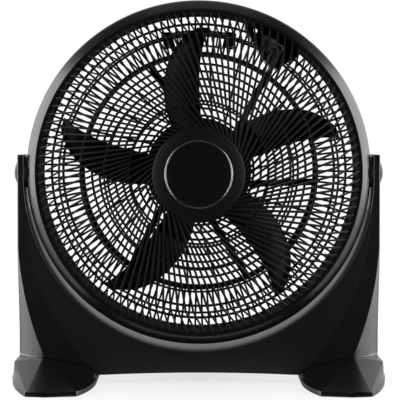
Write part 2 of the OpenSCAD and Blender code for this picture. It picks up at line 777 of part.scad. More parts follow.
cup_front = cup_len / 2 + 1;
cup_t = 2.5;        // wall of the wheel's hub
hub_boss_r = 10;    // radius of the boss on the shaft
core_len = stack_len + 2;
shaft_front = cup_front + 9.5;
shaft_rear = plate_front + 1;
pin_r = 1.5;        // radius of the drive pin

function blade_span(r) = 33.7 - 0.174 * (r - 80) - 0.0032 * pow(max(0, r - 190), 2) * 225 / tip_r;
function blade_mid(r) = 305.5 + blade_span(r) / 2 - 2.2 * pow((r - 145) / 60, 2);
function blade_pitch(r) = root_pitch + (tip_pitch - root_pitch) * (r - cup_r) / (tip_r - cup_r);

// A point of a blade: u runs from the trailing edge (-1) to the leading edge (1).
function blade_point(r, u, side) =
  let (half = max(1.2, blade_span(r) / 2), chord = r * half * PI / 180,
       turn = blade_mid(r) + u * half,
       camber = 0.10 * chord * (1 - u * u),
       z = -u * chord * tan(blade_pitch(r)) + camber + side * blade_t / 2 * (1 - 0.6 * u * u))
  [r * cos(turn), r * sin(turn), z];

module blade() {
  rows = 9;
  cols = 6;
  radii = [for (i = [0 : rows - 1]) cup_r - 1 + (tip_r - cup_r + 1) * sin(90 * i / (rows - 1))];
  ring = [for (j = [0 : cols]) [-1 + 2 * j / cols, 1]];
  under = [for (j = [cols : -1 : 0]) [-1 + 2 * j / cols, -1]];
  loop = concat(ring, under);
  n = len(loop);
  points = [for (r = radii) for (p = loop) blade_point(r, p[0], p[1])];
  side_faces = [for (i = [0 : rows - 2]) for (j = [0 : n - 1])
    let (k = (j + 1) % n) each [[i * n + j, (i + 1) * n + k, (i + 1) * n + j], [i * n + j, i * n + k, (i + 1) * n + k]]];
  root = [for (j = [0 : cols - 1]) each [[j, n - 2 - j, j + 1], [j, n - 1 - j, n - 2 - j]]];
  tip = [for (f = root) [f[0] + (rows - 1) * n, f[2] + (rows - 1) * n, f[1] + (rows - 1) * n]];
  polyhedron(points, concat(side_faces, root, tip), convexity = 6);
}

module blade_wheel() {
  color(soft_black) fan() difference() {
    union() {
      translate([0, 0, cup_front - cup_len]) rotate_extrude($fn = 96) polygon([
        [cup_r - cup_t, 0], [cup_r, 0], [cup_r, cup_len - 6], [cup_r - 2, cup_len - 2], [cup_r - 6, cup_len],
        [0, cup_len], [0, cup_len - 3], [cup_r - 7, cup_len - 3], [cup_r - cup_t, cup_len - 7]
      ]);
      translate([0, 0, cup_front - 30]) cylinder(h = 29, r = hub_boss_r, $fn = 48);
      for (i = [0 : 5]) rotate([0, 0, i * 60])
        translate([hub_boss_r - 1, -1, cup_front - 22]) cube([cup_r - hub_boss_r - 1, 2, 20]);
      for (i = [0 : blades - 1]) rotate([0, 0, i * 360 / blades]) blade();
    }
    translate([0, 0, cup_front - 40]) cylinder(h = 60, r = shaft_r, $fn = 48);
    translate([-pin_r, -hub_boss_r - 1, cup_front - 31]) cube([2 * pin_r, 2 * hub_boss_r + 2, 2 * pin_r + 1]);
  }
}

module rotor_core() {
  color(zinc) fan() translate([0, 0, stack_z - 1]) tube(core_r, shaft_r, core_len);
}

module motor_shaft() {
  color(steel) fan() difference() {
    translate([0, 0, shaft_rear]) cylinder(h = shaft_front - shaft_rear, r = shaft_r, $fn = 48);
    translate([0, -10, cup_front - 30 + pin_r]) rotate([-90, 0, 0]) cylinder(h = 20, r = pin_r, $fn = 24);
  }
}

module drive_pin() {
  color(steel) fan() translate([0, -hub_boss_r + 1, cup_front - 30 + pin_r]) rotate([-90, 0, 0])
    cylinder(h = 2 * hub_boss_r - 2, r = pin_r, $fn = 24);
}

module spinner_nut() {
  color(soft_black) fan() translate([0, 0, cup_front]) difference() {
    union() {
      cylinder(h = 4, r = 14, $fn = 64);
      translate([0, 0, 4 - eps]) cylinder(h = 8, r = 10, $fn = 6);
    }
    translate([0, 0, -1]) cylinder(h = 11, r = shaft_r, $fn = 48);
  }
}

// ---- stand ----

foot_spread = 9;    // how far a foot reaches outside its arm
foot_out = arm_out + foot_spread; // outer end of a foot
foot_in = foot_out - foot_w;    // inner end of a foot
seam_in = foot_in + 15;         // inner end of the seam on top of a foot
crown_x = arm_out - 40;         // where the seam is highest
seam_in_z = foot_h - 11;
seam_out_z = foot_h - 4;
panel_in = foot_in + 1.5;       // where the panel's lower edge meets a foot

// The panel's sides run straight down and flare a little towards the feet.
side_flare = 3.3;   // how far a side flares at the foot
side_top = 160;     // height at which a side begins to flare
function side_x(z) = arm_out + side_flare * pow(max(0, side_top - z) / (side_top - seam_out_z), 2);
function panel_side(inset) = [for (i = [0 : 6])
  let (z = side_top + (seam_out_z + inset - side_top) * i / 6) [side_x(z) - inset, z]];

// Front outline of the stand panel, drawn inset from its edges.
module panel_plan(inset = 0) {
  top = axis_h + arm_top - inset;
  half = concat([[arm_out - inset, top]], panel_side(inset), [
    [crown_x, foot_h + inset], [seam_in - inset, seam_in_z + inset], [panel_in - inset, panel_z + inset]]);
  n = len(half);
  difference() {
    polygon(concat(half, [for (i = [n - 1 : -1 : 0]) [-half[i][0], half[i][1]]]));
    translate([0, cradle_z]) circle(cradle_r + inset, $fn = 240);
    translate([-arm_x - inset, cradle_z]) square([2 * (arm_x + inset), axis_h]);
    translate([0, panel_z + arch + inset - arch_r]) circle(arch_r, $fn = 240);
  }
}
arch_half = foot_in - 12;
arch_r = (arch_half * arch_half + arch * arch) / (2 * arch);

// The panel's front leans out towards the floor, and each leg's face slopes back outside
// a crease that runs from arm to foot. The outer corners are rounded by a large radius.
arm_front = washer_r + 0.5; // how far an arm reaches in front of the pivots
flare_top = 260;    // height below which the front leans out
leg_round = 90;     // radius of the rounded outer corners
crease_tilt = 2;    // slope of a leg's face
crease_foot = [seam_in - 11, foot_h];
crease_head = [arm_x - 5, axis_h - 42];
lean = (panel_d / 2 - arm_front) / pow(flare_top - foot_h, 2);
function front_y(z) = -arm_front - lean * pow(max(0, flare_top - z), 2);
function crease_x(z) = min(foot_out - 1, crease_foot[0] + (z - crease_foot[1])
  * (crease_head[0] - crease_foot[0]) / (crease_head[1] - crease_foot[1]));

// A closed body through cross-sections at the given heights, open to the back.
module panel_body(inset = 0) {
  steps = 7;
  low = panel_z - 2;
  heights = concat([for (i = [0 : steps]) low + (flare_top - low) * i / steps], [axis_h + arm_top + 2]);
  ring = [for (z = heights)
    let (y = front_y(z) + inset, x = crease_x(z), slope = (foot_out - x) * tan(crease_tilt))
    [[-foot_out, panel_d, z], [-foot_out, y + slope, z], [-x, y, z], [x, y, z], [foot_out, y + slope, z], [foot_out, panel_d, z]]];
  n = 6;
  last = (len(heights) - 1) * n;
  sides = [for (i = [0 : len(heights) - 2]) for (j = [0 : n - 1]) let (k = (j + 1) % n)
    each [[i * n + j, (i + 1) * n + k, i * n + k], [i * n + j, (i + 1) * n + j, (i + 1) * n + k]]];
  intersection() {
    polyhedron([for (r = ring) each r],
      concat([[for (j = [0 : n - 1]) j]], sides, [[for (j = [n - 1 : -1 : 0]) last + j]]), convexity = 4);
    linear_extrude(axis_h + arm_top + 1) hull() for (side = [-1, 1])
      translate([side * crown_x, leg_round - panel_d / 2]) circle(leg_round - inset, $fn = 192);
  }
}

panel_wall = 3;     // wall thickness of the stand panel
pivot_block = 24;   // how far the solid top of an arm reaches below the fan axis
stiffener_pitch = 45; // distance between the ribs behind the panel
module at_arm() {
  for (side = [0, 1]) mirror([side, 0, 0]) translate([arm_x, 0, axis_h]) rotate([0, 90, 0]) children();
}

screw_inset = 18;   // how far the foot screws stand from the seam's end and the foot's middle
pillar_r = 6;       // radius of the panel's pillars for the foot screws
pillar_h = 40;      // height of the panel's pillars for the foot screws
foot_screw_xs = [seam_in + screw_inset, crown_x + screw_inset];
module at_foot_screws(side) {
  mirror([side, 0, 0]) for (x = foot_screw_xs) for (y = [-screw_inset, screw_inset]) translate([x, y, 0]) children();
}

// What the front outline takes from a slab as deep as the panel, behind its leaning face.
module panel_slab(inset, back) {
  intersection() {
    translate([0, back, 0]) rotate([90, 0, 0]) linear_extrude(back + panel_d) children();
    panel_body(inset);
  }
}

module stand_panel() {
  color(body_black) difference() {
    union() {
      difference() {
        panel_slab(0, panel_d / 2) panel_plan();
        panel_slab(panel_wall, panel_d / 2 + 1) intersection() {
          panel_plan(panel_wall);
          translate([-foot_out, 0]) square([2 * foot_out, axis_h - pivot_block]);
        }
      }
      intersection() {
        panel_slab(1, panel_d / 2 - 1) panel_plan(1);
        union() {
          for (side = [0, 1]) at_foot_screws(side) translate([0, 0, panel_z]) cylinder(h = pillar_h, r = pillar_r, $fn = 32);
          for (i = [-3 : 3]) translate([i * stiffener_pitch - 1.25, -panel_d / 2, 0])
            cube([2.5, panel_d - 6, axis_h]);
        }
      }
    }
    at_arm() translate([0, 0, -side_gap]) cylinder(h = side_gap, r = washer_r + 1, $fn = 64);
    at_arm() translate([0, 0, -1]) cylinder(h = arm_t + 2, r = bolt_r + seat, $fn = 48);
    for (side = [0, 1]) at_foot_screws(side) translate([0, 0, 0]) cylinder(h = foot_h + 12, r = screw_r, $fn = 24);
  }
}

// Plan of a foot: one long arc outside, rounded corners inside, and a blunt pointed toe.
foot_outer_r = 186; // radius of a foot's outer side
foot_inner_r = 110; // radius of a foot's inner corners
foot_inner_flat = 45; // half the length of a foot's straight inner side
toe_x = crown_x - 18; // where a foot's toe reaches furthest
toe_slope = 0.11;   // how fast the toe falls back to either side
sole_h = 8;         // height of the upright band round a foot
module foot_plan(inset = 0) {
  toe = foot_d / 2 - inset;
  back = toe - toe_slope * foot_w;
  intersection() {
    translate([foot_out - foot_outer_r, 0]) circle(foot_outer_r - inset, $fn = 144);
    hull() for (y = [-foot_inner_flat, foot_inner_flat])
      translate([foot_in + foot_inner_r, y]) circle(foot_inner_r - inset, $fn = 96);
    polygon([[toe_x - foot_w, -back], [toe_x, -toe], [toe_x + foot_w, -back],
      [toe_x + foot_w, back], [toe_x, toe], [toe_x - foot_w, back]]);
  }
}

module foot() {
  z = pad_h;
  top = pad_h + sole_h;
  difference() {
    union() {
      translate([0, 0, z]) linear_extrude(sole_h) foot_plan();
      hull() {
        translate([0, 0, top - 0.5]) linear_extrude(0.5) foot_plan(1);
        translate([0, panel_d / 2 + 1, 0]) rotate([90, 0, 0]) linear_extrude(panel_d + 2)
          polygon([[seam_in, top], [seam_in, seam_in_z], [crown_x, foot_h],
            [side_x(seam_out_z), seam_out_z], [side_x(seam_out_z), top]]);
      }
    }
    for (x = foot_screw_xs) for (y = [-18, 18]) translate([x, y, -1]) {
      cylinder(h = foot_h + 10, r = screw_r + seat, $fn = 24);
      cylinder(h = 16, r = 2 * screw_r + 1, $fn = 32);
    }
    at_foot_pads() translate([0, 0, z - 1]) cylinder(h = 4, r = pad_r + seat, $fn = 48);
  }
}

pad_r = 11;         // radius of the rubber pads
pad_in = 30;        // how far the pads stand inside a foot's outline
module at_foot_pads() {
  for (x = [foot_in + pad_in, foot_out - pad_in - 12]) for (y = [-1, 1])
    translate([x, y * (foot_d / 2 - pad_in), 0]) children();
}

module left_foot() {
  color(body_black) mirror([1, 0, 0]) foot();
}

module right_foot() {
  color(body_black) foot();
}

module foot_pads() {
  color([0.12, 0.12, 0.12]) for (side = [0, 1]) mirror([side, 0, 0]) at_foot_pads()
    cylinder(h = pad_h + 3, r = pad_r, $fn = 48);
}

module foot_screws() {
  color(zinc) for (side = [0, 1]) at_foot_screws(side) translate([0, 0, pad_h + 13]) screw(foot_h - 8);
}

// ---- pivots ----

washer_t = side_gap - pad_out - 0.1;
module friction_washers() {
  color([0.15, 0.15, 0.15]) at_arm() translate([0, 0, -washer_t]) tube(washer_r, bolt_r + seat, washer_t);
}

bolt_head = 2.6;    // height of a pivot bolt's head
module pivot_bolts() {
  color(zinc) at_arm() {
    translate([0, 0, -side_gap - insert_len]) cylinder(h = side_gap + insert_len + arm_t + eps, r = bolt_r, $fn = 48);
    translate([0, 0, arm_t]) cylinder(h = bolt_head, r = 2 * bolt_r, $fn = 48);
  }
}

module pivot_cap() {
  dome_R = (cap_r * cap_r + cap_h * cap_h) / (2 * cap_h);
  translate([0, 0, arm_t]) difference() {
    intersection() {
      translate([0, 0, cap_h - dome_R]) sphere(dome_R, $fn = 120);
      cylinder(h = cap_h, r = cap_r, $fn = 96);
    }
    translate([0, 0, -1]) cylinder(h = bolt_head + 1 + gap, r = 2 * bolt_r + gap, $fn = 48);
  }
}

module left_pivot_cap() {
  color(body_black) mirror([1, 0, 0]) translate([arm_x, 0, axis_h]) rotate([0, 90, 0]) pivot_cap();
}

module right_pivot_cap() {
  color(body_black) translate([arm_x, 0, axis_h]) rotate([0, 90, 0]) pivot_cap();
}

stand_panel();
left_foot();
right_foot();
foot_pads();
foot_screws();
friction_washers();
pivot_bolts();
left_pivot_cap();
right_pivot_cap();
drum_shell();
pivot_inserts();
front_grille();
hub_badge();
badge_ring();
rim_clips();
rear_grille();
rear_screws();
carry_handle();
handle_screws();
control_box();
dial_plate();
box_screws();
rotary_switch();
switch_nut();
cord_gland();
switch_leads();
motor_leads();
channel_cover();
motor_stator();
stator_windings();
front_shield();
rear_shield();
front_bearing();
rear_bearing();
motor_bolts();
motor_screws();
run_capacitor();
capacitor_clip();
motor_cap();
blade_wheel();
rotor_core();
motor_shaft();
drive_pin();
spinner_nut();
speed_knob();
switch_spindle();
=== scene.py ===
# Round floor fan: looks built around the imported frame
import json
import math

import bmesh
import bpy
from bmesh.types import BMEdge, BMFace, BMVert
from mathutils import Matrix, Vector


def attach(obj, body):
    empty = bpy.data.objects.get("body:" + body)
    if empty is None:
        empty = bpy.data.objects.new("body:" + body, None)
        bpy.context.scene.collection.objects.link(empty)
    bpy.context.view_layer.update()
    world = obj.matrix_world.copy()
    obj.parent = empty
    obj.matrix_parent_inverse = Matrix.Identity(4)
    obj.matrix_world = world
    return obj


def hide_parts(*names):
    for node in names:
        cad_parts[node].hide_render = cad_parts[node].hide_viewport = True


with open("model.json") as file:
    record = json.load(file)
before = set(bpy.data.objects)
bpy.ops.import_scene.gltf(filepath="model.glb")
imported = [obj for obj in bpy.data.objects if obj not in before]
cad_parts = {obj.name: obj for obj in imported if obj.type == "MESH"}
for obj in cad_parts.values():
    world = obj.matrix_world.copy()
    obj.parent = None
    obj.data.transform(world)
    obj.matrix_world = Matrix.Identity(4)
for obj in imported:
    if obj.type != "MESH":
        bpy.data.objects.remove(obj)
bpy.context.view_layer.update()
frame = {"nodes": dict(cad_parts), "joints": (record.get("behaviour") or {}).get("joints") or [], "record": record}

print("frame loaded:", len(frame["nodes"]), "nodes")

mm = 0.001
joints = {joint["name"]: joint for joint in frame["joints"]}
axisHeight = joints["tilt"]["pos_m"][2]
halfSide = 12 * mm  # the pivots lie this far behind the rounded front edge

# The drum's own frame: z forward along the fan axis, y up, millimetres
fanPlace = Matrix((
    (mm, 0, 0, 0),
    (0, 0, -mm, -halfSide),
    (0, mm, 0, axisHeight),
    (0, 0, 0, 1),
))
floorPlace = Matrix.Diagonal((mm, mm, mm, 1))


def turned(degrees, axis="Z"):
    return Matrix.Rotation(math.radians(degrees), 4, axis)


def moved(x, y, z):
    return Matrix.Translation((x, y, z))


def only(geom, kind):
    return [g for g in geom if isinstance(g, kind)]


# Materials: two shared effects, and a table of looks for each
def effectGroup(name, inputs):
    # a group with the three outputs that every finish uses
    group = bpy.data.node_groups.new(name, "ShaderNodeTree")
    for label, kind, value in inputs:
        socket = group.interface.new_socket(name=label, in_out="INPUT", socket_type="NodeSocket" + kind)
        socket.default_value = value
    for label, kind in (("Color", "Color"), ("Roughness", "Float"), ("Height", "Float")):
        group.interface.new_socket(name=label, in_out="OUTPUT", socket_type="NodeSocket" + kind)
    return group, group.nodes.new("NodeGroupInput").outputs, group.nodes.new("NodeGroupOutput").inputs


def feed(tree, socket, value):
    # a socket is linked, and a plain value is set
    if isinstance(value, bpy.types.NodeSocket):
        tree.links.new(value, socket)
    else:
        socket.default_value = value


def noiseNode(tree, coords, scale, detail, rough):
    node = tree.nodes.new("ShaderNodeTexNoise")
    for label, value in (("Vector", coords), ("Scale", scale), ("Detail", detail), ("Roughness", rough)):
        feed(tree, node.inputs[label], value)
    return node.outputs["Fac"]


def mathNode(tree, operation, first, second):
    node = tree.nodes.new("ShaderNodeMath")
    node.operation = operation
    feed(tree, node.inputs[0], first)
    feed(tree, node.inputs[1], second)
    return node.outputs[0]


def mixColour(tree, factor, first, second):
    node = tree.nodes.new("ShaderNodeMix")
    node.data_type = "RGBA"
    for label, value in (("Factor", factor), ("A", first), ("B", second)):
        feed(tree, node.inputs[label], value)
    return node.outputs["Result"]


def separated(tree, vector, axis):
    node = tree.nodes.new("ShaderNodeSeparateXYZ")
    tree.links.new(vector, node.inputs[0])
    return node.outputs[axis]


def mouldedGroup():
    # fine spark-eroded grain, slow gloss variation and a little settled dust
    group, given, result = effectGroup("mouldedPlastic", (
        ("Color", "Color", (0.012, 0.012, 0.013, 1)),
        ("Dust Color", "Color", (0.06, 0.058, 0.055, 1)),
        ("Dust", "Float", 0.1),
        ("Roughness", "Float", 0.4),
        ("Grain Scale", "Float", 1600.0),
        ("Grain", "Float", 0.2),
    ))
    coords = group.nodes.new("ShaderNodeTexCoord").outputs["Object"]
    grain = noiseNode(group, coords, given["Grain Scale"], 2.0, 0.6)
    cloud = noiseNode(group, coords, 14.0, 4.0, 0.55)
    speck = noiseNode(group, coords, 260.0, 3.0, 0.7)
    normal = group.nodes.new("ShaderNodeNewGeometry").outputs["Normal"]
    upward = mathNode(group, "MAXIMUM", separated(group, normal, "Z"), 0.0)
    dusty = mathNode(group, "MULTIPLY", mathNode(group, "MULTIPLY", upward, upward), speck)
    dusty = mathNode(group, "MULTIPLY", dusty, given["Dust"])
    wave = mathNode(group, "MULTIPLY", mathNode(group, "SUBTRACT", cloud, 0.5), 0.14)
    gloss = mathNode(group, "ADD", wave, given["Roughness"])
    feed(group, result["Color"], mixColour(group, dusty, given["Color"], given["Dust Color"]))
    feed(group, result["Roughness"], mathNode(group, "ADD", gloss, dusty))
    feed(group, result["Height"], mathNode(group, "MULTIPLY", grain, given["Grain"]))
    return group


def metalGroup():
    # drawn or turned metal: fine streaks, faint blotches
    group, given, result = effectGroup("workedMetal", (
        ("Color", "Color", (0.6, 0.6, 0.62, 1)),
        ("Tarnish Color", "Color", (0.3, 0.29, 0.28, 1)),
        ("Tarnish", "Float", 0.2),
        ("Roughness", "Float", 0.3),
        ("Streak Scale", "Vector", (900.0, 900.0, 40.0)),
        ("Streak", "Float", 0.1),
    ))
    coords = group.nodes.new("ShaderNodeTexCoord").outputs["Object"]
    stretch = group.nodes.new("ShaderNodeVectorMath")
    stretch.operation = "MULTIPLY"
    feed(group, stretch.inputs[0], coords)
    feed(group, stretch.inputs[1], given["Streak Scale"])
    streak = noiseNode(group, stretch.outputs[0], 1.0, 3.0, 0.6)
    blotch = noiseNode(group, coords, 45.0, 4.0, 0.6)
    tarnished = mathNode(group, "MULTIPLY", blotch, given["Tarnish"])
    wave = mathNode(group, "MULTIPLY", mathNode(group, "SUBTRACT", streak, 0.5), 0.2)
    feed(group, result["Color"], mixColour(group, tarnished, given["Color"], given["Tarnish Color"]))
    feed(group, result["Roughness"], mathNode(group, "ADD", wave, given["Roughness"]))
    feed(group, result["Height"], mathNode(group, "MULTIPLY", streak, given["Streak"]))
    return group


groups = {"moulded": mouldedGroup(), "metal": metalGroup()}
bumpDepth = 0.2 * mm


def makeMaterial(name, kind, values, metallic=0.0, specular=0.5, bump=0.3):
    material = bpy.data.materials.new(name)
    material.use_nodes = True
    tree = material.node_tree
    shader = tree.nodes["Principled BSDF"]
    effect = tree.nodes.new("ShaderNodeGroup")
    effect.node_tree = groups[kind]
    for label, value in values.items():
        effect.inputs[label].default_value = value
    relief = tree.nodes.new("ShaderNodeBump")
    relief.inputs["Strength"].default_value = bump
    relief.inputs["Distance"].default_value = bumpDepth
    tree.links.new(effect.outputs["Color"], shader.inputs["Base Color"])
    tree.links.new(effect.outputs["Roughness"], shader.inputs["Roughness"])
    tree.links.new(effect.outputs["Height"], relief.inputs["Height"])
    tree.links.new(relief.outputs["Normal"], shader.inputs["Normal"])
    shader.inputs["Metallic"].default_value = metallic
    shader.inputs["Specular IOR Level"].default_value = specular
    return material


def plastic(name, colour, rough, dust=0.1, grain=0.2, scale=1600.0, specular=0.5):
    return makeMaterial(name, "moulded", {
        "Color": (*colour, 1), "Roughness": rough, "Dust": dust, "Grain": grain, "Grain Scale": scale,
    }, specular=specular)


def metal(name, colour, rough, tarnish=0.2, streak=0.1, stretch=(900.0, 900.0, 40.0), bump=0.3):
    return makeMaterial(name, "metal", {
        "Color": (*colour, 1), "Roughness": rough, "Tarnish": tarnish, "Streak": streak,
        "Streak Scale": stretch,
    }, metallic=1.0, bump=bump)


# name: (colour, roughness, what differs from the usual)
plastics = {
    "satinBlack": ((0.004, 0.004, 0.0043), 0.28, {"dust": 0.03, "specular": 0.58}),
    "ribBlack": ((0.004, 0.004, 0.0043), 0.42, {"dust": 0.02, "grain": 0.1, "specular": 0.22}),
    "grilleBlack": ((0.001, 0.001, 0.0011), 0.32, {"dust": 0.02, "grain": 0.1, "specular": 0.1}),
    "bladeBlack": ((0.001, 0.001, 0.0011), 0.30, {"dust": 0.02, "grain": 0.08, "specular": 0.07}),
    # a near-black copy of the black with almost no gloss: painted shade for the walls inside the duct
    "ductBlack": ((0.0008, 0.0008, 0.0009), 0.5, {"dust": 0.02, "specular": 0.01}),
    # a darker, glossier copy of the stand's black: painted shade for the leg faces outside the crease, also used
    # on the feet
    "legBlack": ((0.003, 0.003, 0.0032), 0.24, {"dust": 0.05, "specular": 1.0}),
    "standBlack": ((0.005, 0.005, 0.0053), 0.36, {"dust": 0.05}),
    # a lighter grey with coarse grain: painted sheen from the side lamp on the outer toe facet
    "treadBlack": ((0.06, 0.06, 0.061), 0.45, {"dust": 0.05, "grain": 0.6, "scale": 700.0}),
    "badgeBlack": ((0.003, 0.003, 0.0032), 0.32, {"grain": 0.05, "specular": 0.35}),
    "printWhite": ((0.75, 0.75, 0.74), 0.5, {"grain": 0.05}),
    "padRubber": ((0.018, 0.018, 0.018), 0.8, {"grain": 0.5, "scale": 900.0}),
    "fibre": ((0.012, 0.011, 0.010), 0.85, {"grain": 0.6, "scale": 700.0}),
    "switchGrey": ((0.05, 0.05, 0.053), 0.5, {}),
    "capacitorGrey": ((0.5, 0.5, 0.5), 0.35, {}),
    "sleeveGrey": ((0.13, 0.13, 0.135), 0.5, {"grain": 0.05}),
}
metals = {
    "trimSilver": ((0.36, 0.365, 0.38), 0.28, {"tarnish": 0.05, "streak": 0.05}),
    "zinc": ((0.5, 0.5, 0.52), 0.4, {"tarnish": 0.4}),
    "groundSteel": ((0.55, 0.55, 0.57), 0.22, {"tarnish": 0.1}),
    "laminations": ((0.3, 0.3, 0.31), 0.5,
                    {"tarnish": 0.4, "streak": 0.6, "stretch": (60.0, 3000.0, 60.0)}),
    "castAlloy": ((0.45, 0.45, 0.46), 0.55,
                  {"tarnish": 0.3, "streak": 0.5, "stretch": (500.0, 500.0, 500.0), "bump": 0.5}),
    "dialSilver": ((0.6, 0.6, 0.62), 0.4, {"tarnish": 0.05}),
    "turnedBrass": ((0.6, 0.42, 0.16), 0.3, {}),
    "enamelCopper": ((0.45, 0.16, 0.06), 0.35, {"streak": 0.8, "stretch": (2500.0, 300.0, 2500.0)}),
}
finishes = {}
for maker, looks in ((plastic, plastics), (metal, metals)):
    for name, (colour, rough, options) in looks.items():
        finishes[name] = maker(name, colour, rough, **options)

slotFinish = {
    "body_plastic": "satinBlack", "badge_plastic": "badgeBlack", "trim_ring": "trimSilver",
    "pad_rubber": "padRubber", "washer_fibre": "fibre", "steel": "zinc", "ground_steel": "groundSteel",
    "laminations": "laminations", "alloy": "castAlloy", "dial_metal": "dialSilver", "brass": "turnedBrass",
    "winding": "enamelCopper", "switch_plastic": "switchGrey", "capacitor_plastic": "capacitorGrey",
    "lead_sleeve": "sleeveGrey",
}
slotOf = {part["node"]: part["material_slot"] for part in frame["record"]["subparts"]}
bodyOf = {n: body for body, members in frame["record"]["behaviour"]["bodies"].items() for n in members}
for name, node in frame["nodes"].items():
    node.data.materials.clear()
    node.data.materials.append(finishes[slotFinish[slotOf[name]]])
print("materials made:", len(finishes))


def finishPiece(bm, name, node, finish, place, smoothAngle=35.0, flatFaces=False, patches=()):
    # the piece stands for the named node; a patch is (finish, test of a face's centre and normal)
    for number, (other, test) in enumerate(patches, 1):
        for face in bm.faces:
            if test(face.calc_center_median(), face.normal):
                face.material_index = number
    bmesh.ops.transform(bm, matrix=place, verts=bm.verts)
    mesh = bpy.data.meshes.new(name)
    for face in bm.faces:
        face.smooth = True
    bm.to_mesh(mesh)
    bm.free()
    for part in (finish, *(patch[0] for patch in patches)):
        mesh.materials.append(finishes[part])
    piece = bpy.data.objects.new(name, mesh)
    bpy.context.scene.collection.objects.link(piece)
    mesh.set_sharp_from_angle(angle=math.radians(smoothAngle))
    if flatFaces:
        weigh = piece.modifiers.new("flatFaces", "WEIGHTED_NORMAL")
        weigh.keep_sharp = True
    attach(piece, bodyOf[node])
    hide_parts(node)


def closeUp(bm, distance=1e-4):
    # merges what meets, and turns every closed shell outwards
    bmesh.ops.remove_doubles(bm, verts=bm.verts, dist=distance)
    bmesh.ops.recalc_face_normals(bm, faces=bm.faces)
    left = set(bm.faces)
    while left:
        shell = [left.pop()]
        for face in shell:
            near = {other for edge in face.edges for other in edge.link_faces} & left
            left -= near
            shell += near
        if sum(f.calc_center_median().dot(f.normal) * f.calc_area() for f in shell) < 0:
            bmesh.ops.reverse_faces(bm, faces=shell)


def addMesh(bm, other, place=Matrix()):
    # joins a second bmesh to the first
    bmesh.ops.transform(other, matrix=place, verts=other.verts)
    mesh = bpy.data.meshes.new("part")
    other.to_mesh(mesh)
    other.free()
    bm.from_mesh(mesh)
    bpy.data.meshes.remove(mesh)


def addMirror(bm):
    # joins a copy mirrored in the plane between the feet
    twin = bm.copy()
    bmesh.ops.scale(twin, verts=twin.verts, vec=(-1, 1, 1))
    bmesh.ops.reverse_faces(twin, faces=twin.faces)
    addMesh(bm, twin)


def repeatAround(bm, count):
    # repeats all that the mesh holds at equal angles about the z axis
    whole = bm.verts[:] + bm.edges[:] + bm.faces[:]
    bmesh.ops.spin(bm, geom=whole, cent=(0, 0, 0), axis=(0, 0, 1), angle=math.radians(360 - 360 / count),
                   steps=count - 1, use_duplicate=True, use_merge=False, use_normal_flip=False)


def arcPoints(centre, radius, start, end, count):
    turns = [math.radians(start + (end - start) * i / count) for i in range(count + 1)]
    return [(centre[0] + radius * math.cos(t), centre[1] + radius * math.sin(t)) for t in turns]


def chamfered(left, right, low, high, lowCut, highCut, highDrop=None):
    # an upright rectangle with its four corners cut
    drop = highDrop or highCut
    return [(left, low + lowCut), (left + lowCut, low), (right - lowCut, low), (right, low + lowCut),
            (right, high - drop), (right - highCut, high), (left + highCut, high), (left, high - drop)]


def spinProfile(bm, points, steps, closed=True, place=Matrix(), sweep=360.0):
    # turns an open or closed profile of (radius, forward) points about the z axis
    solid = bmesh.new()
    verts = [solid.verts.new((r, 0, f)) for r, f in points]
    whole = sweep >= 360.0
    if whole:
        pairs = list(zip(verts, verts[1:])) + [(verts[-1], verts[0])] * closed
        profile = verts + [solid.edges.new(pair) for pair in pairs]
    else:
        profile = [solid.faces.new(verts)]
    bmesh.ops.spin(solid, geom=profile, cent=(0, 0, 0), axis=(0, 0, 1), angle=math.radians(sweep),
                   steps=steps, use_merge=whole, use_normal_flip=False, use_duplicate=False)
    addMesh(bm, solid, place)


def turnedPiece(name, node, finish, place, points, steps, closed=True, smoothAngle=35.0):
    # a piece that is one spun profile
    bm = bmesh.new()
    spinProfile(bm, points, steps, closed)
    closeUp(bm)
    finishPiece(bm, name, node, finish, place, smoothAngle)


def addTube(bm, inner, outer, low, high, steps, place):
    spinProfile(bm, [(inner, low), (outer, low), (outer, high), (inner, high)], steps, place=place)


def roundedBox(size, place, radius=0.6, segments=2):
    box = bmesh.new()
    bmesh.ops.create_cube(box, size=1.0, matrix=Matrix.Diagonal((*size, 1)))
    bmesh.ops.bevel(box, geom=box.edges[:], offset=radius, segments=segments, profile=0.5,
                    affect="EDGES", material=-1)
    bmesh.ops.transform(box, matrix=place, verts=box.verts)
    return box


def carry(bm, face, moves):
    # draws a face along a list of moves into one closed solid
    for number, move in enumerate(moves):
        last = face
        face = only(bmesh.ops.extrude_face_region(bm, geom=[last])["geom"], BMFace)[0]
        if number:
            bmesh.ops.delete(bm, geom=[last], context="FACES_ONLY")
        bmesh.ops.transform(bm, matrix=move, verts=face.verts[:])


def straightBar(section, start, end, tangent, steps, forward):
    # a section carried outwards over a dished face, along a line beside the axis
    radii = [start + (end - start) * i / steps for i in range(steps + 1)]
    stops = [Vector((tangent, math.sqrt(r * r - tangent * tangent), forward(r))) for r in radii]
    bar = bmesh.new()
    face = bar.faces.new([bar.verts.new(stops[0] + Vector((x, 0, z))) for x, z in section])
    carry(bar, face, [Matrix.Translation(after - before) for before, after in zip(stops, stops[1:])])
    return bar


def sweepRound(bm, path, radius, sides=10):
    # carries a round section along a path of points
    points = [Vector(p) for p in path]
    places = []
    for i, point in enumerate(points):
        ahead = (points[min(i + 1, len(points) - 1)] - points[max(i - 1, 0)]).normalized()
        places.append(Matrix.Translation(point) @ ahead.to_track_quat("Z", "X").to_matrix().to_4x4())
    ring = bmesh.ops.create_circle(bm, cap_ends=True, segments=sides, radius=radius)["verts"]
    face = ring[0].link_faces[0]
    bmesh.ops.transform(bm, matrix=places[0], verts=ring)
    carry(bm, face, [after @ before.inverted() for before, after in zip(places, places[1:])])


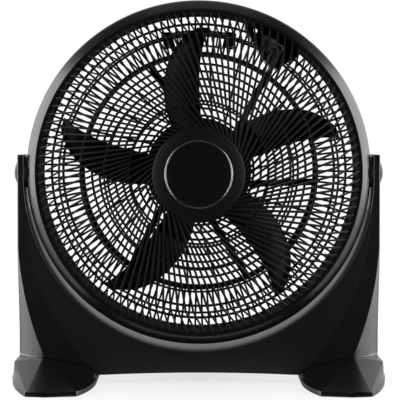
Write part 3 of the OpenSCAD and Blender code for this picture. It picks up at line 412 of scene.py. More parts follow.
def addScrew(bm, place, radius, length):
    # a pan head with a cross recess above z = 0 and a plain shank below it
    screw = bmesh.new()
    bmesh.ops.create_grid(screw, x_segments=5, y_segments=5, size=1.0)
    cross = []
    for face in screw.faces:
        x, y = (abs(c) for c in face.calc_center_median()[:2])
        if max(x, y) < 0.65 and min(x, y) < 0.2:
            cross.append(face)
    bmesh.ops.recalc_face_normals(screw, faces=screw.faces)
    for vert in screw.verts:  # the square grid becomes a shallow round dome
        reach = max(abs(vert.co.x), abs(vert.co.y))
        away = math.hypot(vert.co.x, vert.co.y) or 1.0
        shrink = reach / away
        vert.co = Vector((vert.co.x * shrink, vert.co.y * shrink, -0.16 * reach * reach)) * 2 * radius
    rim = [e for e in screw.edges if e.is_boundary]
    for drop in (0.28, 0.2):
        rim = only(bmesh.ops.extrude_edge_only(screw, edges=rim)["geom"], BMEdge)
        rimVerts = list({v for e in rim for v in e.verts})
        rim = [e for e in rim if e.is_boundary]
        bmesh.ops.translate(screw, verts=rimVerts, vec=(0, 0, -drop * radius))
    bmesh.ops.holes_fill(screw, edges=[e for e in screw.edges if e.is_boundary])
    sunk = only(bmesh.ops.extrude_face_region(screw, geom=cross)["geom"], BMVert)
    bmesh.ops.delete(screw, geom=cross, context="FACES")
    bmesh.ops.translate(screw, verts=sunk, vec=(0, 0, -0.55 * radius))
    bmesh.ops.translate(screw, verts=screw.verts, vec=(0, 0, 0.8 * radius))
    bmesh.ops.create_cone(screw, cap_ends=True, segments=12, radius1=radius * 0.6, radius2=radius,
                          depth=length, matrix=moved(0, 0, -length / 2))
    addMesh(bm, screw, place)


def softened(node, finish, width, segments, angle, shortest, cuts=(), patches=(), back=0.0):
    # a copy of a frame node, its flat faces joined and its edges rounded within the node's own box
    bm = bmesh.new()
    bm.from_mesh(frame["nodes"][node].data)
    bmesh.ops.remove_doubles(bm, verts=bm.verts, dist=5e-6)
    bmesh.ops.dissolve_limit(bm, angle_limit=math.radians(0.4), use_dissolve_boundaries=False,
                             verts=bm.verts, edges=bm.edges, delimit=set())
    bmesh.ops.recalc_face_normals(bm, faces=bm.faces)
    sharp = [e for e in bm.edges if e.is_manifold and e.calc_face_angle(0) > math.radians(angle)
             and e.calc_length() > shortest * mm]
    bmesh.ops.bevel(bm, geom=sharp, offset=width * mm, offset_type="OFFSET", segments=segments,
                    profile=0.5, affect="EDGES", material=-1, clamp_overlap=False)
    for at, normal in cuts:
        bmesh.ops.bisect_plane(bm, geom=bm.verts[:] + bm.edges[:] + bm.faces[:], dist=1e-6,
                               plane_co=Vector(at) * mm, plane_no=Vector(normal))
    box = [(min(reach), max(reach)) for reach in zip(*frame["nodes"][node].bound_box)]
    for vert in bm.verts:
        vert.co = [min(max(value, low), high) for value, (low, high) in zip(vert.co, box)]
    bmesh.ops.translate(bm, verts=bm.verts, vec=(0, back * mm, 0))
    bm.normal_update()
    finishPiece(bm, node + "Look", node, finish, Matrix(), smoothAngle=32.0, flatFaces=True,
                patches=patches)


# Front grille: domed ribs, rings, hub and rounded rim
grille = {
    "edgeCentre": 249.0, "edgeRadius": 19.0, "wall": 3.0, "hole": 248.0, "lip": 252.3, "lipDrop": 1.2,
    "seam": 263.0, "rise": 50.0, "hub": 69.0, "hubSkirt": 12.0, "swirl": 50.0, "hook": 105.0, "turn": 1.9,
    "ribs": 57, "ribWidth": 3.3, "hookWidth": 2.5, "ribDepth": 7.0,
    "rings": (104.8, 142.4, 179.6, 213.7), "ringHalf": 1.5, "ringInset": 1.5,
    "trim": 49.6, "trimWidth": 2.4, "badge": 2.0, "ease": 0.75, "easeFrom": (253.0, 18.3),
    "easeTo": (266.5, 7.4), "ductShadeFrom": 246.5, "ductShadeFacing": -60.0, "edgeOutside": 251.6,
    "edgeFront": 4.0, "hubRound": 1.8, "hubWall": 3.0, "holeBack": 3.0, "overlap": 1.5,
}


def edgeForward(r):
    return math.sqrt(grille["edgeRadius"] ** 2 - (r - grille["edgeCentre"]) ** 2)


def edgeAngle(r):
    return math.degrees(math.acos((r - grille["edgeCentre"]) / grille["edgeRadius"]))


def domeForward(r):
    return hubForward - domeRadius + math.sqrt(domeRadius ** 2 - r * r)


lipForward = edgeForward(grille["lip"]) - grille["lipDrop"]
hubForward = lipForward + grille["rise"]
domeRadius = (grille["hole"] ** 2 + grille["rise"] ** 2) / (2 * grille["rise"])
seamAngle = edgeAngle(grille["seam"])


def addRibs(bm, start, end, tangent, steps, count, turn, width):
    # upright ribs with rounded fronts, at equal angles
    w, d = width / 2, grille["ribDepth"]
    section = [(-w, -d + 0.5), (-w * 0.6, -d), (w * 0.6, -d), (w, -d + 0.5),
               (w, -0.9), (w * 0.62, -0.2), (0, 0), (-w * 0.62, -0.2), (-w, -0.9)]
    ribs = straightBar(section, start, end, tangent, steps, domeForward)
    bmesh.ops.transform(ribs, matrix=turned(turn), verts=ribs.verts)
    repeatAround(ribs, count)
    addMesh(bm, ribs)


def eased(point):
    # the rounded edge, eased towards a cone between the lip and the outer side
    (lowRadius, lowForward), (highRadius, highForward) = grille["easeFrom"], grille["easeTo"]
    if not lowRadius < point[0] < highRadius:
        return point
    part = (point[0] - lowRadius) / (highRadius - lowRadius)
    cone = lowForward + (highForward - lowForward) * part
    return (point[0], point[1] + grille["ease"] * (cone - point[1]))


def hubProfile():
    # from the middle of the back round the skirt and the nose to the badge's seat
    hub = grille["hub"]
    edge = domeForward(hub) + 0.8
    skirt = edge - grille["hubSkirt"]
    seat = hubForward - grille["badge"]
    seatRadius = grille["trim"] + grille["trimWidth"] / 2 + 0.05
    wall, nose = grille["hubWall"], grille["hubRound"]
    points = [(0.0, seat - wall), (hub - 2 * wall, edge - 4), (hub - wall, edge - 5.5),
              (hub - wall, skirt), (hub - 0.3, skirt), (hub, skirt + 0.3)]
    points += arcPoints((hub - nose, edge - nose), nose, 0, 70, 6)
    points += [(seatRadius + 1.4, hubForward), (seatRadius + 0.9, hubForward + 0.05),
               (seatRadius + 0.3, hubForward - 0.2), (seatRadius, hubForward - 0.6),
               (seatRadius, seat), (0.0, seat)]
    return points


def rimProfile():
    # from the seam over the rounded edge and the lip, down the hole and back inside
    g = grille
    centre = (g["edgeCentre"], 0.0)
    lipAngle = edgeAngle(g["lip"])
    lip, hole, outside = g["lip"], g["hole"], g["hole"] + g["wall"]
    edge = arcPoints(centre, g["edgeRadius"], seamAngle + 1.2, lipAngle - 0.8, 20)
    points = [eased(point) for point in edge]
    points += [(lip + 0.1, lipForward + 0.9), (lip - 0.1, lipForward + 0.25), (lip - 0.5, lipForward),
               (hole + 0.6, lipForward), (hole + 0.15, lipForward - 0.2), (hole, lipForward - 0.7),
               (hole, g["holeBack"]), (outside, g["holeBack"]), (outside, lipForward - g["wall"])]
    return points + arcPoints(centre, g["edgeRadius"] - g["wall"], lipAngle - 4, seamAngle, 12)


def buildFrontGrille():
    g = grille
    last = g["rings"][-1]
    hookTurn = math.degrees(math.acos(g["swirl"] / last) - math.acos(g["hook"] / last))
    bm = bmesh.new()
    hub, hole, count, turn = g["hub"] - g["overlap"], g["hole"] + g["overlap"], g["ribs"], g["turn"]
    addRibs(bm, hub, last, g["swirl"], 10, count, turn, g["ribWidth"])
    addRibs(bm, g["rings"][0], last, g["swirl"], 8, count, turn + 180 / count, g["ribWidth"])
    addRibs(bm, last, hole, g["hook"], 4, 2 * count, turn + hookTurn, g["hookWidth"])
    for r in g["rings"]:
        top = domeForward(r) - g["ringInset"] - 0.1
        low = domeForward(r) - g["ribDepth"] + g["ringInset"]
        spinProfile(bm, chamfered(r - g["ringHalf"], r + g["ringHalf"], low, top, 0.4, 0.5, 0.6), 228)
    spinProfile(bm, hubProfile(), 192, closed=False)
    spinProfile(bm, rimProfile(), 288)
    closeUp(bm)

    # faces inside the hole that turn towards the axis take the near-black duct finish: painted shade
    def inDuct(at, normal):
        facing = normal.x * at.x + normal.y * at.y
        return math.hypot(at.x, at.y) > g["ductShadeFrom"] and facing < g["ductShadeFacing"]

    def onEdge(at, normal):
        return math.hypot(at.x, at.y) > g["edgeOutside"] and at.z > g["edgeFront"]

    finishPiece(bm, "frontGrille", "front_grille", "ribBlack", fanPlace,
                patches=[("ductBlack", inDuct), ("satinBlack", onEdge)])


buildFrontGrille()
print("front grille done")


# Drum: rounded shell with a duct wall and pivot pads
drum = {"side": 24.0, "ledge": 259.0, "duct": 249.5, "ductShadeTo": 253.0, "wall": 3.0, "ductFront": 2.5,
        "outside": 268.0, "padRadius": 24.0, "padOut": 0.5, "padDepth": 8.0}


def buildDrum():
    d = drum
    centre, radius = grille["edgeCentre"], grille["edgeRadius"]
    duct, wall, front = d["duct"], d["wall"], d["ductFront"]
    back = -d["side"] - radius
    frontArc, rearArc = (centre, 0.0), (centre, -d["side"])
    outside = arcPoints(frontArc, radius - 0.5, seamAngle - 0.6, seamAngle - 0.6, 1)[:1]
    outside += arcPoints(frontArc, radius, seamAngle - 2.0, 0, 12)
    outside = [eased(point) for point in outside]
    outside += arcPoints(rearArc, radius, 0, -58, 16)
    outside += [(d["ledge"] + 0.3, back), (duct + 0.4, back), (duct, back + 0.4), (duct, front - 0.4),
                (duct + 0.4, front), (duct + wall - 0.4, front), (duct + wall, front - 0.4),
                (duct + wall, back + wall)]
    outside += arcPoints(rearArc, radius - wall, -60, 0, 8)
    outside += arcPoints(frontArc, radius - wall, 0, seamAngle - 2, 8)
    bm = bmesh.new()
    spinProfile(bm, outside, 288)
    for side in (1, -1):
        reach = side * (d["outside"] + d["padOut"] - d["padDepth"] / 2)
        bmesh.ops.create_cone(bm, cap_ends=True, segments=64, radius1=d["padRadius"],
                              radius2=d["padRadius"] - 0.4, depth=d["padDepth"],
                              matrix=moved(reach, 0, -d["side"] / 2) @ turned(side * 90, "Y"))
    closeUp(bm)
    # the duct wall inside the drum takes the near-black duct finish: painted shade
    finishPiece(bm, "drum", "drum_shell", "satinBlack", fanPlace, patches=[
        ("ductBlack", lambda at, normal: math.hypot(at.x, at.y) < drum["ductShadeTo"])])


buildDrum()
print("drum done")


# Blade wheel: a cup with swept blades, whose span and pitch are in degrees
wheel = {
    "tip": 225.0, "cup": 62.0, "blades": 5, "thick": 2.4, "rootPitch": 38.0, "tipPitch": 24.0,
    "camber": 0.10, "span": 33.7, "spanAt": 80.0, "narrowing": 0.174, "roundFrom": 190.0,
    "rounding": 0.0032, "firstBlade": 305.5, "sweepBack": 2.2, "sweepAt": 145.0,
    "cupFront": 21.0, "cupLength": 40.0, "cupWall": 2.5, "cupFloor": 3.0, "cupRound": 6.0, "bore": 4.0,
}


def bladePoint(r, u):
    w = wheel
    span = (w["span"] - w["narrowing"] * (r - w["spanAt"])
            - w["rounding"] * max(0.0, r - w["roundFrom"]) ** 2)
    half = max(1.2, span / 2)
    middle = w["firstBlade"] + span / 2 - w["sweepBack"] * ((r - w["sweepAt"]) / 60) ** 2
    chord = r * math.radians(half)
    pitch = w["rootPitch"] + (w["tipPitch"] - w["rootPitch"]) * (r - w["cup"]) / (w["tip"] - w["cup"])
    turn = math.radians(middle + u * half)
    return (r * math.cos(turn), r * math.sin(turn),
            -u * chord * math.tan(math.radians(pitch)) + w["camber"] * chord * (1 - u * u))


def buildWheel():
    w = wheel
    bm = bmesh.new()
    bmesh.ops.create_grid(bm, x_segments=28, y_segments=18, size=1.0)
    root = w["cup"] - 2
    for vert in bm.verts:
        r = root + (w["tip"] - root) * math.sin(math.pi / 4 * (vert.co.x + 1))
        vert.co = bladePoint(r, vert.co.y)
    bmesh.ops.recalc_face_normals(bm, faces=bm.faces)
    bmesh.ops.translate(bm, verts=bm.verts, vec=(0, 0, -w["thick"] / 2))
    bmesh.ops.solidify(bm, geom=bm.faces[:], thickness=-w["thick"])
    rim = [e for e in bm.edges if e.calc_face_angle(0) > math.radians(60)]
    bmesh.ops.bevel(bm, geom=rim, offset=0.8, segments=2, profile=0.5, affect="EDGES", material=-1)
    repeatAround(bm, w["blades"])
    front, back, cup, bore = w["cupFront"], w["cupFront"] - w["cupLength"], w["cup"], w["bore"]
    inside, floor, corner = cup - w["cupWall"], front - w["cupFloor"], w["cupRound"]
    cupProfile = [(bore, front), (cup - corner - 2, front)]
    cupProfile += arcPoints((cup - corner, front - corner), corner, 80, 0, 8)
    cupProfile += [(cup, back), (inside, back), (inside, front - corner - 1), (cup - corner, floor),
                   (bore, floor)]
    spinProfile(bm, cupProfile, 128)
    closeUp(bm)
    finishPiece(bm, "bladeWheel", "blade_wheel", "bladeBlack", fanPlace, smoothAngle=40)


buildWheel()
print("blade wheel done")


# Rear grille: a dished plate with arms, inner rings, a broad band and straight outer ribs
rear = {
    "rise": 48.0, "hole": 248.0, "rim": -46.0, "depth": 5.0, "ribWidth": 3.3, "ribEnd": 249.0,
    "ribs": 138, "ringHalf": 1.9, "band": (185.5, 194.0), "bandDepth": 6.6, "outerRings": (219.5, 237.0),
    "innerRings": [91.0 + 12.0 * i for i in range(8)], "arms": 24, "broadArms": 6, "broadWidth": 11.0,
    "broadDepth": 9.0, "tangent": 26.0, "turn": -27.5, "plate": 87.0, "plateThick": 3.0, "plug": 248.0,
    "bore": 13.0, "ledge": 258.7, "duct": 249.2, "seat": 2.98, "plugDepth": 7.0, "wall": 3.0,
    "handleTube": (2.2, 5.5), "boxTube": (2.1, 4.5), "tubeTop": 1.0,
}
controlBox = {
    "angle": 61.0, "front": -60.0, "back": -90.0, "rim": 258.7, "knobAt": 236.0, "screws": (248.0, 43.0),
    "plan": [(206, -30), (206, -12), (238, 46), (256, 56), (280, 56), (280, -56), (256, -56), (238, -50)],
}
handle = {"radius": 218.5, "width": 27.0, "half": 14.0, "padDrop": 2.5, "foot": 3.0, "gap": 27.0,
          "grip": 14.0, "leg": 5.0, "legIn": 9.5, "webs": 5, "rail": 3.0, "round": 0.9, "web": 3.0,
          "footLength": 18.0, "footIn": 3.0}
rearDome = (rear["hole"] ** 2 + rear["rise"] ** 2) / (2 * rear["rise"])


def rearForward(r):
    return rear["rim"] - rear["rise"] + rearDome - math.sqrt(rearDome ** 2 - r * r)


handlePad = rearForward(handle["radius"] - handle["width"] / 2) - handle["padDrop"]


def planCrossing(angle):
    # how far out a ray from the fan's axis enters the plan of the control box
    points = controlBox["plan"]
    ray = (math.cos(math.radians(angle)), math.sin(math.radians(angle)))
    reached = []
    for (ax, ay), (bx, by) in zip(points, points[1:] + points[:1]):
        dx, dy = bx - ax, by - ay
        cross = ray[0] * dy - ray[1] * dx
        if abs(cross) < 1e-9:
            continue
        along = (ax * dy - ay * dx) / cross
        part = (ax * ray[1] - ay * ray[0]) / cross
        if 0 <= part <= 1 and along > 0:
            reached.append(along)
    return min(reached, default=math.inf)


def addRearBar(bm, start, end, tangent, width, depth, steps, turn, edge=0.45):
    # a straight bar behind the dome, its rear edges rounded
    section = chamfered(-width / 2, width / 2, 0, depth, 0.7 * edge, edge)
    addMesh(bm, straightBar(section, start, end, tangent, steps, rearForward), turned(turn))


def boxOutline(bm, forward):
    # the plan of the control box, trimmed to the round rim
    plan = controlBox["plan"]
    rim = controlBox["rim"]
    top = math.degrees(math.asin(plan[3][1] / rim))
    points = plan[:3] + arcPoints((0, 0), rim, top, -top, 16) + plan[7:]
    return bm.faces.new([bm.verts.new((x, y, forward)) for x, y in points])


def plateProfile():
    # a plate with a shallow groove behind and a turned-up edge
    p, bore, back = rear["plate"], rear["bore"], rearForward(rear["plate"])
    deep, thick = back + rear["broadDepth"], back + rear["plateThick"]
    groove = [(30, back), (31, back + 0.5), (62, back + 0.5), (63, back)]
    edge = [(p - 1.2, back), (p - 0.3, back + 0.4), (p, back + 1.2), (p, deep - 0.4), (p - 0.4, deep),
            (p - 2.6, deep), (p - 3, deep - 0.4), (p - 3, thick)]
    return ([(bore, back + 0.3), (bore + 0.3, back)] + groove + edge
            + [(bore + 0.3, thick), (bore, thick - 0.3)])


def plugProfile():
    # the rim's foot on the drum, with the plug that reaches into the duct
    plug, ledge, duct, rim = rear["plug"], rear["ledge"], rear["duct"], rear["rim"]
    seat, front = rim + rear["seat"], rim + rear["plugDepth"]
    return [(plug, rim + 0.6), (plug + 0.6, rim), (ledge - 0.6, rim), (ledge, rim + 0.6),
            (ledge, seat), (duct, seat), (duct, front - 0.4), (duct - 0.4, front),
            (plug + 0.3, front), (plug, front - 0.4)]


def addBoxWall(bm):
    # the upright wall between the rim and the control box
    wall = bmesh.new()
    outline = boxOutline(wall, controlBox["front"])
    bmesh.ops.inset_region(wall, faces=[outline], thickness=rear["wall"], use_even_offset=True)
    bmesh.ops.delete(wall, geom=[outline], context="FACES")
    grown = bmesh.ops.extrude_face_region(wall, geom=wall.faces[:], use_keep_orig=True)["geom"]
    bmesh.ops.translate(wall, verts=only(grown, BMVert),
                        vec=(0, 0, rear["rim"] - controlBox["front"] + 0.5))
    bmesh.ops.recalc_face_normals(wall, faces=wall.faces)
    addMesh(bm, wall, turned(controlBox["angle"]))


def buildRearGrille():
    r, h = rear, handle
    box, top = controlBox["angle"], rear["rim"] + rear["tubeTop"]
    inner, outer = r["band"]
    bm = bmesh.new()
    for i in range(r["ribs"]):
        turn = (180 + 360 * i) / r["ribs"]
        away = (turn + 90 - box + 180) % 360 - 180
        end = min(r["ribEnd"], planCrossing(away) + 1)
        addRearBar(bm, outer - 1, end, 0.0, r["ribWidth"], r["depth"], 3, turn)
    for ring in r["innerRings"] + list(r["outerRings"]):
        z = rearForward(ring)
        profile = chamfered(ring - r["ringHalf"], ring + r["ringHalf"], z + 1, z + 4, 0.3, 0.4)
        blocked = [a / 10 for a in range(-200, 201) if planCrossing(a / 10) < ring]
        if blocked:
            gap = blocked[-1] - blocked[0]
            spinProfile(bm, profile, 220, place=turned(box + blocked[-1]), sweep=360 - gap)
        else:
            spinProfile(bm, profile, 180)
    z = rearForward(outer)
    spinProfile(bm, chamfered(inner, outer, z, z + r["bandDepth"], 0.8, 0.5), 240)
    for count, width, depth, edge in ((r["arms"], r["ribWidth"], r["depth"], 0.45),
                                      (r["broadArms"], r["broadWidth"], r["broadDepth"], 0.9)):
        for i in range(count):
            addRearBar(bm, r["plate"] - 1, inner + 1, r["tangent"], width, depth, 5,
                       r["turn"] + 360 * i / count, edge)
    spinProfile(bm, plateProfile(), 180)
    spinProfile(bm, plugProfile(), 240)
    addBoxWall(bm)
    for turn in (90 - h["half"], 90 + h["half"]):
        for reach in (h["radius"] - h["width"] / 4, h["radius"] + h["width"] / 4):
            addTube(bm, *r["handleTube"], handlePad, top, 28, turned(turn) @ moved(reach, 0, 0))
    for side in (-1, 1):
        reach, across = controlBox["screws"]
        place = turned(box) @ moved(reach, side * across, 0)
        addTube(bm, *r["boxTube"], controlBox["front"], top, 24, place)
    closeUp(bm)
    finishPiece(bm, "rearGrille", "rear_grille", "grilleBlack", fanPlace)


buildRearGrille()
print("rear grille done")


# Hub: a bare sunken disc inside a silver ring
badge = {"radius": 48.4, "ring": 49.6, "ringWidth": 2.4, "depth": 2.0, "proud": 0.8}


def buildHub():
    b = badge
    low = hubForward - b["depth"]
    radius, middle, half = b["radius"], b["ring"], b["ringWidth"] / 2
    disc = [(0.0, low), (radius, low), (radius, low + 1.9), (radius - 0.5, low + 2.2),
            (radius - 2.4, low + 2.2), (radius - 3.2, low + 1.75), (36.0, low + 1.55),
            (18.0, low + 1.4), (0.0, low + 1.35)]
    crown = [(middle + half * math.cos(math.radians(t)),
              low + b["depth"] + 0.05 + b["proud"] * math.sin(math.radians(t))) for t in range(0, 181, 20)]
    trim = [(middle - half, low), (middle + half, low)] + crown
    turnedPiece("badgeDisc", "hub_badge", "badgeBlack", fanPlace, disc, 160, closed=False)
    turnedPiece("badgeTrim", "badge_ring", "trimSilver", fanPlace, trim, 192)


buildHub()
print("hub done")


# Stand: a shell that opens to the back, with a creased leg and a rounded flank on either side
stand = {
    "armFace": 270.5, "armOut": 281.0, "armTop": 352.0, "cradle": 270.57, "cradleHeight": 317.7,
    "back": 31.6, "front": 24.5, "lean": 0.000152, "leanTop": 260.0, "arch": 3.3, "archHalf": 144.5,
    "low": 12.5, "panelIn": 158.0, "seam": [(158.0, 12.5), (171.5, 27.0), (241.0, 38.0), (284.3, 34.0)],
    "seamOut": 34.0, "legEnd": 41.0, "sideFlare": 3.3, "sideTop": 160.0, "legSlope": 0.07,
    "flankFrom": 241.0, "flankReach": 80.0, "flankSlopes": (0.36, 1.10), "wall": 3.0, "edge": 2.4,
    "outerEdge": 1.4, "ribPitch": 45.0, "ribThick": 2.5, "ribBack": 29.0, "weld": 0.03,
    "screwsAt": (189.5, 259.0), "screwsOut": 18.0, "screwTube": (2.1, 6.0, 36.0, 48.0),
    "armBlock": (9.8, 49.0, 56.0), "armBlockAt": (275.7, 6.8, 323.6), "capDrop": 0.6,
    "middleRib": (2.5, 56.0, 30.0), "middleRibAt": (0, 0.5, 31.0), "ribLow": 14.5, "outerRibLow": 38.0,
    "ribCount": 4, "cradleRays": 150,
    "armRows": (320.0, 324.0, 330.0, 336.0, 342.0, 348.0, 350.4),
    # widest place, how far it comes in at the leg's end, height of the bend, power
    "crease": (266.0, 84.0, 250.0, 1.86), "flank": (280.6, 40.5, 240.0, 2.1),
}
footScrewPlaces = [(x, y) for x in stand["screwsAt"] for y in (-stand["screwsOut"], stand["screwsOut"])]
bareScrewPlace = (stand["screwsAt"][1], -stand["screwsOut"])  # the flank leaves no room for a tube


def drawnIn(line, z):
    # how far out the crease or the flank runs at a height
    widest, inset, bend, power = stand[line]
    return widest - inset * (max(0.0, bend - z) / (bend - stand["legEnd"])) ** power


def sideAt(z):
    s = stand
    part = max(0.0, s["sideTop"] - z) / (s["sideTop"] - s["seamOut"])
    return s["armOut"] + s["sideFlare"] * part ** 2


def flankDepth(x):
    first, last = stand["flankSlopes"]
    reach = x - stand["flankFrom"]
    return first * reach + (last - first) / stand["flankReach"] * reach * reach


def panelFront(x, z):
    # how far forward the panel's face lies at a place on its front
    s = stand
    forward = -s["front"] - s["lean"] * max(0.0, s["leanTop"] - z) ** 2
    crease, flank = drawnIn("crease", z), drawnIn("flank", z)
    if x > crease:
        forward += (min(x, flank) - crease) * s["legSlope"]
    if x > flank:
        forward += flankDepth(x) - flankDepth(flank)
    return forward


def onPanel(x, z):
    s = stand
    if x > sideAt(z):
        return False
    if x < s["panelIn"]:
        radius = (s["archHalf"] ** 2 + s["arch"] ** 2) / (2 * s["arch"])
        return math.hypot(x, z - (s["low"] + s["arch"] - radius)) > radius and z > s["low"] - 0.01
    for (ax, az), (bx, bz) in zip(s["seam"], s["seam"][1:]):
        if ax <= x <= bx:
            return z > az + (bz - az) * (x - ax) / (bx - ax)
    return z > s["seamOut"]


def crossing(start, way, limit, test):
    # how far along a ray the test stays true
    def holds(reach):
        return test(start[0] + way[0] * reach, start[1] + way[1] * reach)

    stride = 0.75
    near = 0.0
    while near < limit and holds(min(limit, near + stride)):
        near = min(limit, near + stride)
    if near >= limit:
        return limit
    far = min(limit, near + stride)
    for halving in range(24):  # ends far below a thousandth of a millimetre
        middle = (near + far) / 2
        if holds(middle):
            near = middle
        else:
            far = middle
    return near


def panelSection(start, way):
    # the section of the shell along one ray out of the cradle: (reach, depth) from back to back
    s = stand
    out = crossing(start, way, 130.0, onPanel)
    crease = min(out - 2.0, crossing(start, way, out, lambda x, z: x < drawnIn("crease", z)))
    flank = crossing(start, way, out, lambda x, z: x < drawnIn("flank", z))
    flank = min(out - 1.5, max(crease, flank))
    edge = min(s["edge"], 0.3 * out)
    crease, flank = max(crease, edge + 0.1), max(flank, edge + 0.2)
    end = min(s["outerEdge"], 0.2 * out)
    last = out - end

    def depth(reach):
        return panelFront(start[0] + way[0] * reach, start[1] + way[1] * reach)

    def span(first, final, count):
        return [first + (final - first) * k / count for k in range(1, count + 1)]

    rows = [(0.0, s["back"]), (0.0, 12.0), (0.0, -8.0)]
    rows += [(edge + x, y) for x, y in arcPoints((0.0, depth(edge) + edge), edge, 180, 270, 4)]
    soft = min(2.5, 0.3 * max(0.0, crease - edge), 0.3 * max(0.0, flank - crease))
    crisp = min(0.5, 0.3 * max(0.0, flank - crease), 0.3 * max(0.0, last - flank))
    reaches = span(edge, crease - soft, 5) + span(crease - soft, crease + soft, 3)
    reaches += span(crease + soft, flank - crisp, 4) + span(flank - crisp, flank + crisp, 2)
    reaches += span(flank + crisp, last, 8)
    rows += [(min(reach, last), depth(min(reach, last))) for reach in reaches]
    rows += arcPoints((last, depth(last) + end), end, -90, 0, 3)[1:]
    return rows + [(out, y) for y in span(depth(last) + end, s["back"], 3)]


def panelSheet():
    # half of the panel as a sheet, laid over the sections of rays out of the cradle and the arm
    s = stand
    rays = []
    for i in range(s["cradleRays"] + 1):
        turn = math.radians(-90 + 90 * i / s["cradleRays"])
        way = (math.cos(turn), math.sin(turn))
        rays.append(((s["cradle"] * way[0], s["cradleHeight"] + s["cradle"] * way[1]), way))
    for z in (*s["armRows"], s["armTop"] - s["capDrop"]):
        rays.append(((s["armFace"], z), (1.0, 0.0)))
    sections = [panelSection(start, way) for start, way in rays]
    rows, columns = len(rays) - 1, len(sections[0]) - 1
    bm = bmesh.new()
    bmesh.ops.create_grid(bm, x_segments=rows, y_segments=columns, size=1.0)
    for vert in bm.verts:
        i = round((vert.co.x + 1) / 2 * rows)
        j = round((vert.co.y + 1) / 2 * columns)
        (x, z), way = rays[i]
        reach, depth = sections[i][j]
        vert.co = (x + way[0] * reach, depth, z + way[1] * reach)
    bmesh.ops.remove_doubles(bm, verts=bm.verts, dist=s["weld"])
    bmesh.ops.recalc_face_normals(bm, faces=bm.faces)
    return bm


def closeArm(bm):
    # the rounded top of the arm
    s = stand
    middle = (s["armFace"] + s["armOut"]) / 2
    drop = s["capDrop"]
    rim = [e for e in bm.edges if e.is_boundary and all(v.co.z > s["armTop"] - drop - 0.1 for v in e.verts)]
    for inset, rise in ((0.5, 0.4), (1.2, 0.6)):
        grown = bmesh.ops.extrude_edge_only(bm, edges=rim)["geom"]
        top = only(grown, BMVert)
        rim = [e for e in only(grown, BMEdge) if all(v in top for v in e.verts)]
        for vert in top:
            vert.co.x = middle + (vert.co.x - middle) * (1 - inset / 5.3)
            vert.co.y *= 1 - inset / 30
            vert.co.z = s["armTop"] - drop + rise
    ends = [v for e in rim for v in e.verts if sum(edge in rim for edge in v.link_edges) == 1]
    if len(set(ends)) == 2:
        rim.append(bm.edges.new(ends))
    bmesh.ops.contextual_create(bm, geom=rim)
    bmesh.ops.recalc_face_normals(bm, faces=bm.faces)
    if sum(f.normal.y * f.calc_area() for f in bm.faces if f.calc_center_median().y < -20) > 0:
        bmesh.ops.reverse_faces(bm, faces=bm.faces)


def panelInside():
    # the blocks in the arms, the ribs inside the panel and the tubes of the foot screws
    s = stand
    bm = roundedBox(s["armBlock"], moved(*s["armBlockAt"]), 0.4, 1)
    for i in range(1, s["ribCount"] + 1):
        x = i * s["ribPitch"]
        low = s["ribLow"] if x < s["panelIn"] else s["outerRibLow"]
        high = s["cradleHeight"] - math.sqrt(s["cradle"] ** 2 - x * x) - 2.0
        front = max(panelFront(x, low), panelFront(x, high)) + 1.5
        addMesh(bm, roundedBox((s["ribThick"], s["ribBack"] - front, high - low),
                               moved(x, (s["ribBack"] + front) / 2, (low + high) / 2), 0.2, 1))
    for x, y in footScrewPlaces:
        if (x, y) != bareScrewPlace:
            addTube(bm, *s["screwTube"], 24, moved(x, y, 0))
    addMirror(bm)
    addMesh(bm, roundedBox(s["middleRib"], moved(*s["middleRibAt"]), 0.2, 1))
    return bm


def buildStand():
    shell = panelSheet()
    closeArm(shell)
    addMirror(shell)
    bmesh.ops.remove_doubles(shell, verts=shell.verts, dist=stand["weld"])
    bmesh.ops.solidify(shell, geom=shell.faces[:], thickness=stand["wall"])
    bm = panelInside()
    addMesh(bm, shell)
    bm.normal_update()
    # the leg face outside the crease and the flank take the darker leg finish: painted shade
    finishPiece(bm, "standShell", "stand_panel", "standBlack", floorPlace, smoothAngle=38, patches=[
        ("legBlack", lambda at, normal: at.y < 20 and abs(at.x) > drawnIn("crease", at.z))])


buildStand()
print("stand done")


# Pivot caps: shallow domes over the pivot bolts
pivotCap = {"radius": 22.6, "rise": 8.0, "bore": 8.4, "sunk": 3.0}


def buildPivotCaps():
    radius, rise = pivotCap["radius"], pivotCap["rise"]
    bore, sunk = pivotCap["bore"], pivotCap["sunk"]
    dome = (radius ** 2 + rise ** 2) / (2 * rise)
    outline = [(0.0, sunk), (bore, sunk), (bore, 0.02), (radius - 0.3, 0.02), (radius, 0.3)]
    for i in range(15):
        r = radius * (1 - (i / 14) ** 1.4)
        outline.append((r, max(0.6, rise - dome + math.sqrt(dome * dome - r * r))))
    for side, word in ((-1, "left"), (1, "right")):
        place = floorPlace @ moved(side * stand["armOut"], 0, axisHeight / mm) @ turned(side * 90, "Y")
        turnedPiece(word + "PivotCap", word + "_pivot_cap", "satinBlack", place, outline, 120,
                    closed=False, smoothAngle=50)


# Screws: six in the rear rim, four in the handle, two in the control box, four in the motor plate,
# eight under the feet
screws = {"radius": 2.0, "rearCircle": 255.5, "rear": 12.0, "handle": 12.0, "box": 39.0,
          "motorCircle": 36.0, "motor": 6.0, "foot": 30.0, "bareFoot": 18.0, "footHead": 15.0}


